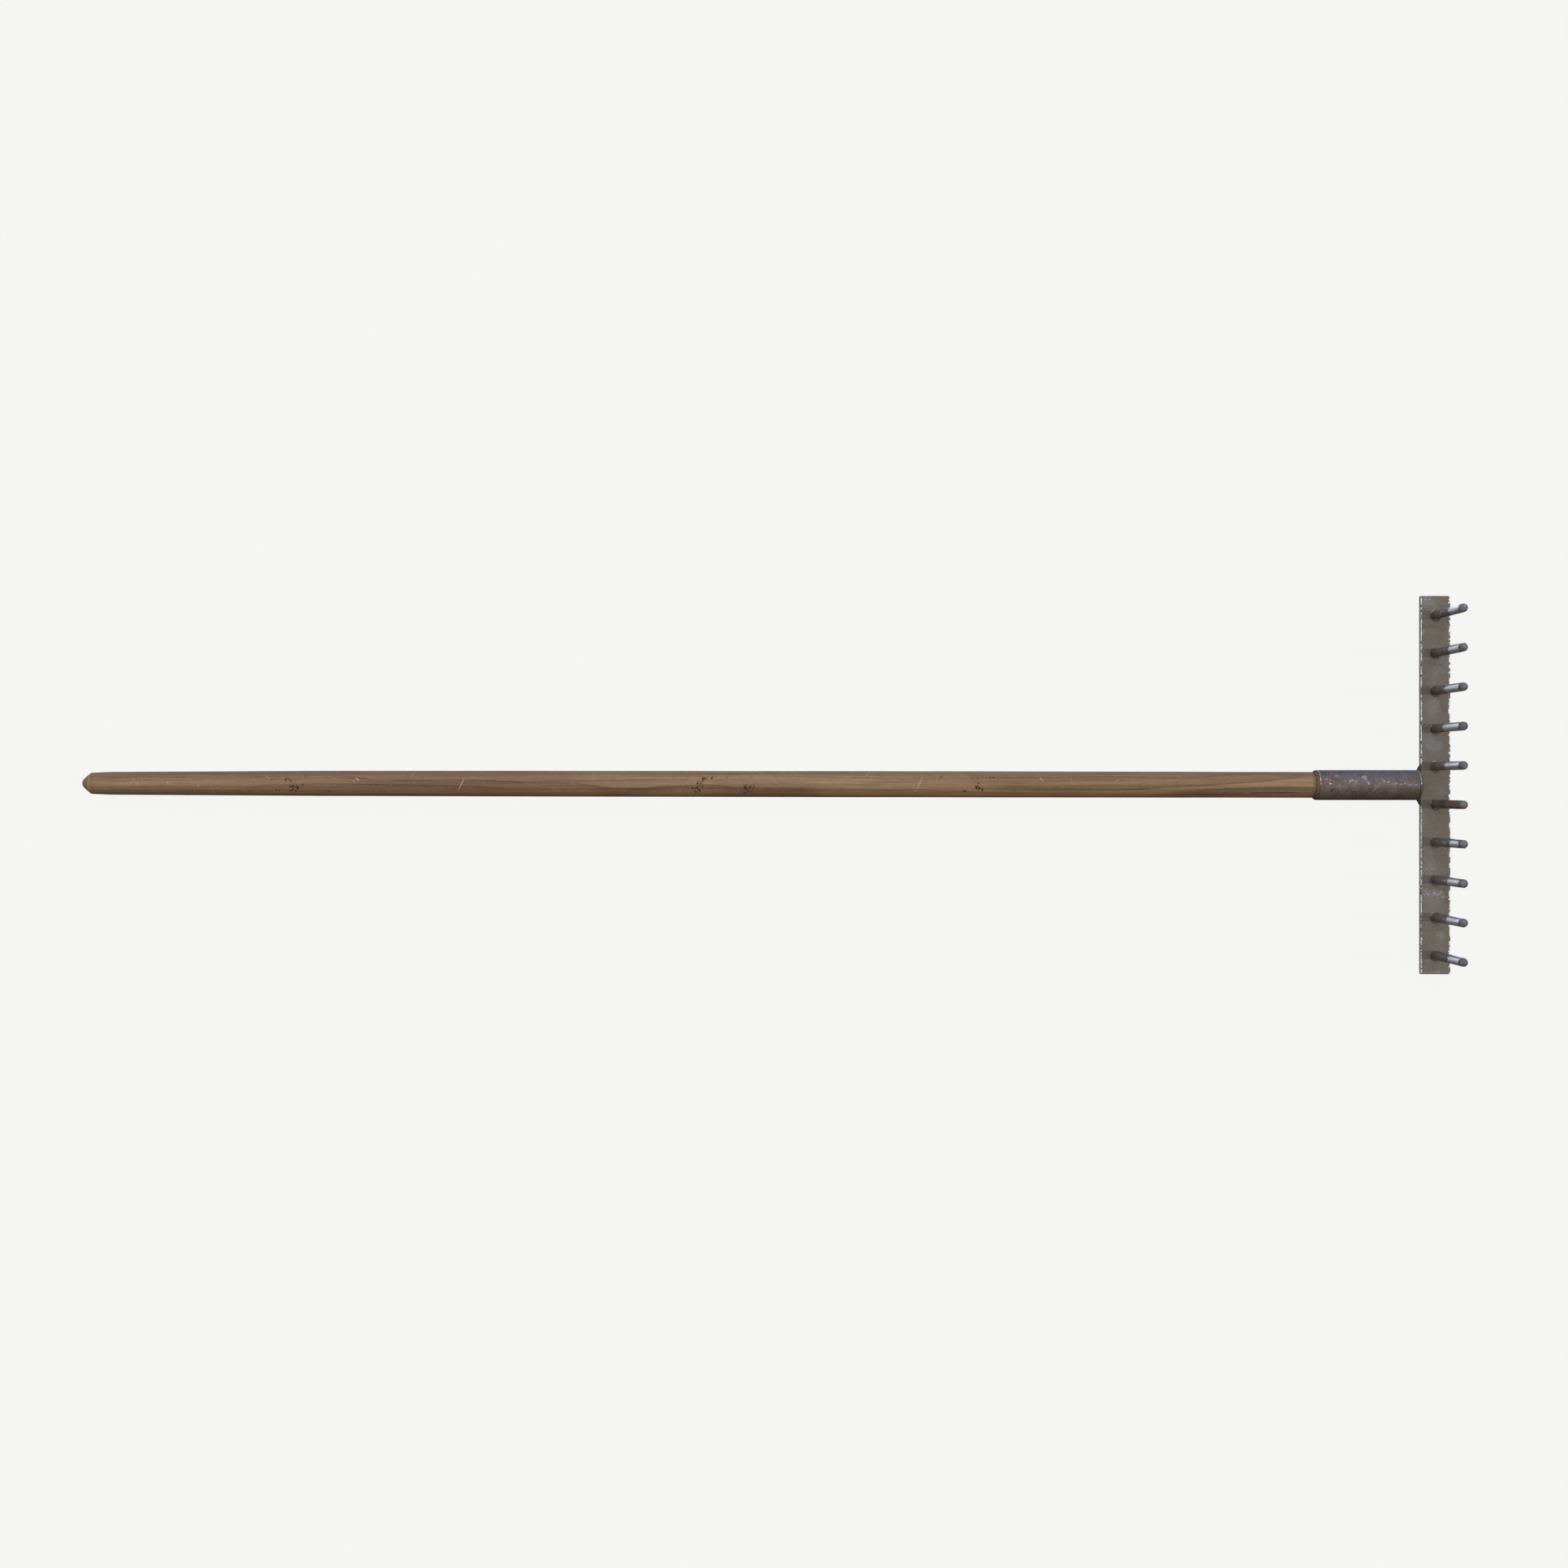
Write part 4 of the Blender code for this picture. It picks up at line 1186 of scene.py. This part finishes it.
def tine_material(index):
    start = TINE_STEEL[index] * MM
    all_brown = index == BROWN_TINE
    g, done, p, x, y, z = new_material(f"tine_steel_{index + 1:02d}")
    h = g.minus(z, BAR_FACE)
    across = g.minus(y, TINE_Y[index])
    own = g.vector("ADD", p, (0.31 * index, 0.17 * index, 0))
    cloud = g.noise(own, 130, 3, 0.6)
    mottle = g.noise(own, 600, 4, 0.6)
    grit = g.noise(own, 2000, 2, 0.6)
    slanted = g.noise(g.stretched(own, (900, 900, 210), (0.55, 0.35, 0)), 1, 3, 0.6)

    # Old paint: brown at the root, a paler grey-brown above a sharp line
    root = g.ease(g.plus(h, g.sway(cloud, 0.0012)), 0.0152, 0.016)
    paint = g.mix(root, seen(94, 86, 80), seen(108, 100, 94))
    paint = g.mix(g.ease(cloud, 0.48, 0.7, 0, 0.55), paint, g.mix(root, seen(76, 68, 62), seen(84, 72, 64)))
    paint = g.over(paint, (50, 44, 42), g.ease(mottle, 0.55, 0.75, 0, 0.35))
    line = g.band(h, 0.015, 0.0158, 0.0162, 0.0172)
    paint = g.over(paint, (138, 136, 134), line, 0.4)
    if all_brown:
        paint = g.over(paint, (78, 56, 50), g.ease(h, 0.01, 0.03, 0, 0.75))
    flecks = g.times(g.ease(g.cells(own, 210), 0.17, 0.1), g.ease(h, 0.02, 0.026), g.ease(cloud, 0.5, 0.58))
    ragged = g.plus(across, g.sway(mottle, 0.0016))
    for place in TINE_FLECKS.get(index, ()):
        fleck = g.ease(g.spot(ragged, h, *place), 0.15, 0.45)
        flecks = g.most(flecks, g.times(fleck, g.ease(x, BAR_X - 0.0005, BAR_X - 0.0015)))
    if all_brown:
        flecks = g.times(flecks, 0)

    # Bare steel towards the tip, with a ragged slanted start
    steel = g.mix(g.ease(slanted, 0.35, 0.65), (0.62, 0.64, 0.67, 1), (0.9, 0.92, 0.94, 1))
    steel = g.mix(g.ease(grit, 0.58, 0.74, 0, 0.35), steel, (0.34, 0.33, 0.32, 1))
    # Painted shade: the side away from the light is painted darker and browner
    shade = g.ease(g.plus(across, g.sway(slanted, 0.0018)), -0.0008, -0.0026)
    painted_shade_tone = g.tones(mottle, 0.4, 0.65, (134, 124, 120), (104, 92, 86))
    rusty = g.tones(mottle, 0.38, 0.62, (112, 76, 58), (88, 66, 60))
    worn = g.ease(g.plus(h, g.sway(slanted, 0.016)), start - 0.002, start + 0.002)
    tip = g.ease(g.plus(h, g.sway(cloud, 0.001)), PURPLE_TIP_FROM, PURPLE_TIP_FROM + 0.0007)
    tip_tone = g.tones(cloud, 0.42, 0.6, (92, 89, 98), (112, 108, 118))
    tip_tone = g.toned(tip_tone, (mottle, 0.54, 0.68, 0.45, (80, 70, 70)))

    bright = g.times(worn, g.minus(1, tip))
    color = g.mix(worn, paint, g.mix(g.times(shade, 0.52), steel, painted_shade_tone))
    if all_brown:
        color = g.mix(g.times(worn, 0.92), color, rusty)
        color = g.over(color, (140, 98, 74), g.spot(across, h, 0, 77, 3, 10), 0.7)
        bright = g.times(bright, 0.25)
        tip = g.times(tip, 0.62)
    color = g.mix(tip, color, tip_tone)
    # A painted highlight: a line of light round the +X part of the crown
    crown = g.minus(z, TINE_BOXES[index][1][2] - CROWN)
    painted_crown_highlight = g.times(g.band(crown, -0.0004, 0, 0.0004, 0.0009), g.ease(cloud, 0.5, 0.6))
    painted_crown_highlight = g.times(painted_crown_highlight, g.ease(x, BAR_X + 0.001, BAR_X + 0.003))
    color = g.mix(g.times(painted_crown_highlight, 0.75), color, (0.75, 0.76, 0.8, 1))
    color = g.mix(flecks, color, (0.85, 0.86, 0.88, 1))

    # Less metal and more roughness on the side painted as shade
    unshaded_steel = g.times(bright, g.minus(1, g.times(shade, 0.55)))
    metal = g.most(unshaded_steel, g.times(flecks, 0.5), g.times(tip, 0.12))
    rough = g.blend(unshaded_steel, 0.52, 0.27)
    rough = g.blend(g.times(g.ease(slanted, 0.4, 0.7), unshaded_steel), rough, 0.36)
    height = g.plus(g.times(mottle, 0.5), g.times(slanted, 0.5))
    normal = g.bump(height, 0.0002, 0.4)
    return done(Base_Color=color, Roughness=rough, Metallic=metal, Normal=normal)


# ---- welds and screw


def weld_material():
    g, done, p = new_material("weld_bead_painted")[:3]
    cloud = g.noise(p, 260, 4, 0.6)
    grit = g.noise(p, 1500, 3, 0.65)
    color = g.tones(cloud, 0.35, 0.65, (58, 51, 45), (76, 67, 58))
    color = g.toned(
        color,
        (grit, 0.56, 0.72, 0.6, (42, 38, 36)),
        (cloud, 0.66, 0.74, 0.6, (110, 78, 56)),
        (grit, 0.36, 0.24, 0.5, (120, 116, 112)),
    )
    rough = g.blend(g.ease(grit, 0.3, 0.7), 0.48, 0.72)
    normal = g.bump(g.plus(cloud, g.times(grit, 0.5)), 0.00035, 0.6)
    return done(Base_Color=color, Roughness=rough, Normal=normal, Metallic=0.25)


def make_fillet(node, name, material, seed):
    """A lumpy bead grown from the plain solid of the weld."""
    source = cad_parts[node]
    obj = bpy.data.objects.new(name, source.data.copy())
    bpy.context.scene.collection.objects.link(obj)
    remesh = obj.modifiers.new("Remesh", "REMESH")
    remesh.mode = "VOXEL"
    remesh.voxel_size = 0.00026
    smooth = obj.modifiers.new("Smooth", "SMOOTH")
    smooth.iterations = 6
    smooth.factor = 0.6
    applied(obj)
    mesh = obj.data
    co = np.zeros(len(mesh.vertices) * 3)
    mesh.vertices.foreach_get("co", co)
    co = co.reshape(-1, 3)
    normals = np.array([v.normal for v in mesh.vertices])
    along = co[:, 2] if "back" not in node else co[:, 1]
    ripple = 0.5 + 0.5 * np.sin(along / 0.00115 * 2 * math.pi + 2.5 * wander(along + 0.5, 0.003, seed, True))
    lump = wander2(co[:, 0] + 0.5, along + co[:, 1] * 0.7 + 0.5, 0.0013, seed + 1)
    co += normals * (0.00042 - 0.00016 * ripple - 0.00022 * lump)[:, None]
    lo, hi = box(node)
    co = np.clip(co, lo - 0.0004, hi + 0.0004)
    if "back" not in node:
        # Drawn into the corner, so that it meets the pipe and the bar
        outer = max(abs(lo[1]), abs(hi[1])) + 0.0006
        stretch = 1 + 0.0016 / (hi[1] - lo[1])
        co[:, 0] = np.clip(co[:, 0] + 0.0003, None, BAR_LO[0] + 0.0001)
        co[:, 1] = math.copysign(1, lo[1]) * (outer - (outer - np.abs(co[:, 1])) * stretch)
    mesh.vertices.foreach_set("co", co.reshape(-1))
    mesh.update()
    mesh.shade_smooth()
    return finished(obj, node, material)


def make_ring(index, material):
    """The bead round a rod behind the bar: a ring of overlapping drops."""
    node = f"tine_weld_{index + 1:02d}"
    lo, hi = box(node)
    y, top = (lo[1] + hi[1]) / 2, hi[2]
    outer, inner = (hi[1] - lo[1]) / 2, TINE_RADIUS + 0.0003
    sides, around = 96, 16
    t = all_round(sides)
    drops = 11 + index % 3
    phase = (t * drops / (2 * math.pi) + 0.3 * index + 0.35 * wander(t, 0.9, 140 + index, True)) % 1
    swell = np.sqrt(np.clip(1 - (2 * phase - 1) ** 2 * 0.55, 0, 1))
    swell *= 0.86 + 0.14 * wander(t, 0.55, 160 + index, True)
    rings = []
    half = (outer - inner) / 2
    for k in range(sides):
        size = swell[k] ** 2
        a = np.linspace(0, -math.pi, around)
        r = inner + (1 + np.cos(a)) * half * (0.8 + 0.2 * swell[k])
        z = top + (hi[2] - lo[2]) * size * np.sin(a)
        rings.append(np.stack([BAR_X + r * math.cos(t[k]), y + r * math.sin(t[k]), z], 1))
    ring = solid(f"weld_ring_{index + 1:02d}", rings, 60, True)
    return finished(ring, node, material)


def dress_screw():
    g, done, p = new_material("screw_steel_dull")[:3]
    mottle = g.noise(p, 900, 4, 0.6)
    brushed = g.streaks(p, (300, 3000, 300), 3)
    color = g.mix(g.ease(mottle, 0.4, 0.65), (0.34, 0.33, 0.32, 1), (0.22, 0.15, 0.11, 1))
    rough = g.blend(brushed, 0.35, 0.55)
    normal = g.bump(g.plus(mottle, brushed), 0.00015, 0.5)
    material = done(Base_Color=color, Roughness=rough, Metallic=0.85, Normal=normal)
    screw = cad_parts["handle_screw"]
    screw.data.materials.clear()
    screw.data.materials.append(material)
    edge = screw.modifiers.new("Edge", "BEVEL")
    edge.width = 0.00012
    edge.segments = 2
    edge.limit_method = "ANGLE"


make_studio()
make_handle()
pipe_paint = socket_material()
make_tube(pipe_paint)
make_cap(pipe_paint)
make_bar()
for number in range(len(TINES)):
    make_tine(number)
bead = weld_material()
make_fillet("socket_weld_left", "fillet_left", bead, 200)
make_fillet("socket_weld_right", "fillet_right", bead, 210)
make_fillet("socket_weld_back", "fillet_back", bead, 220)
for number in range(len(TINES)):
    make_ring(number, bead)
dress_screw()
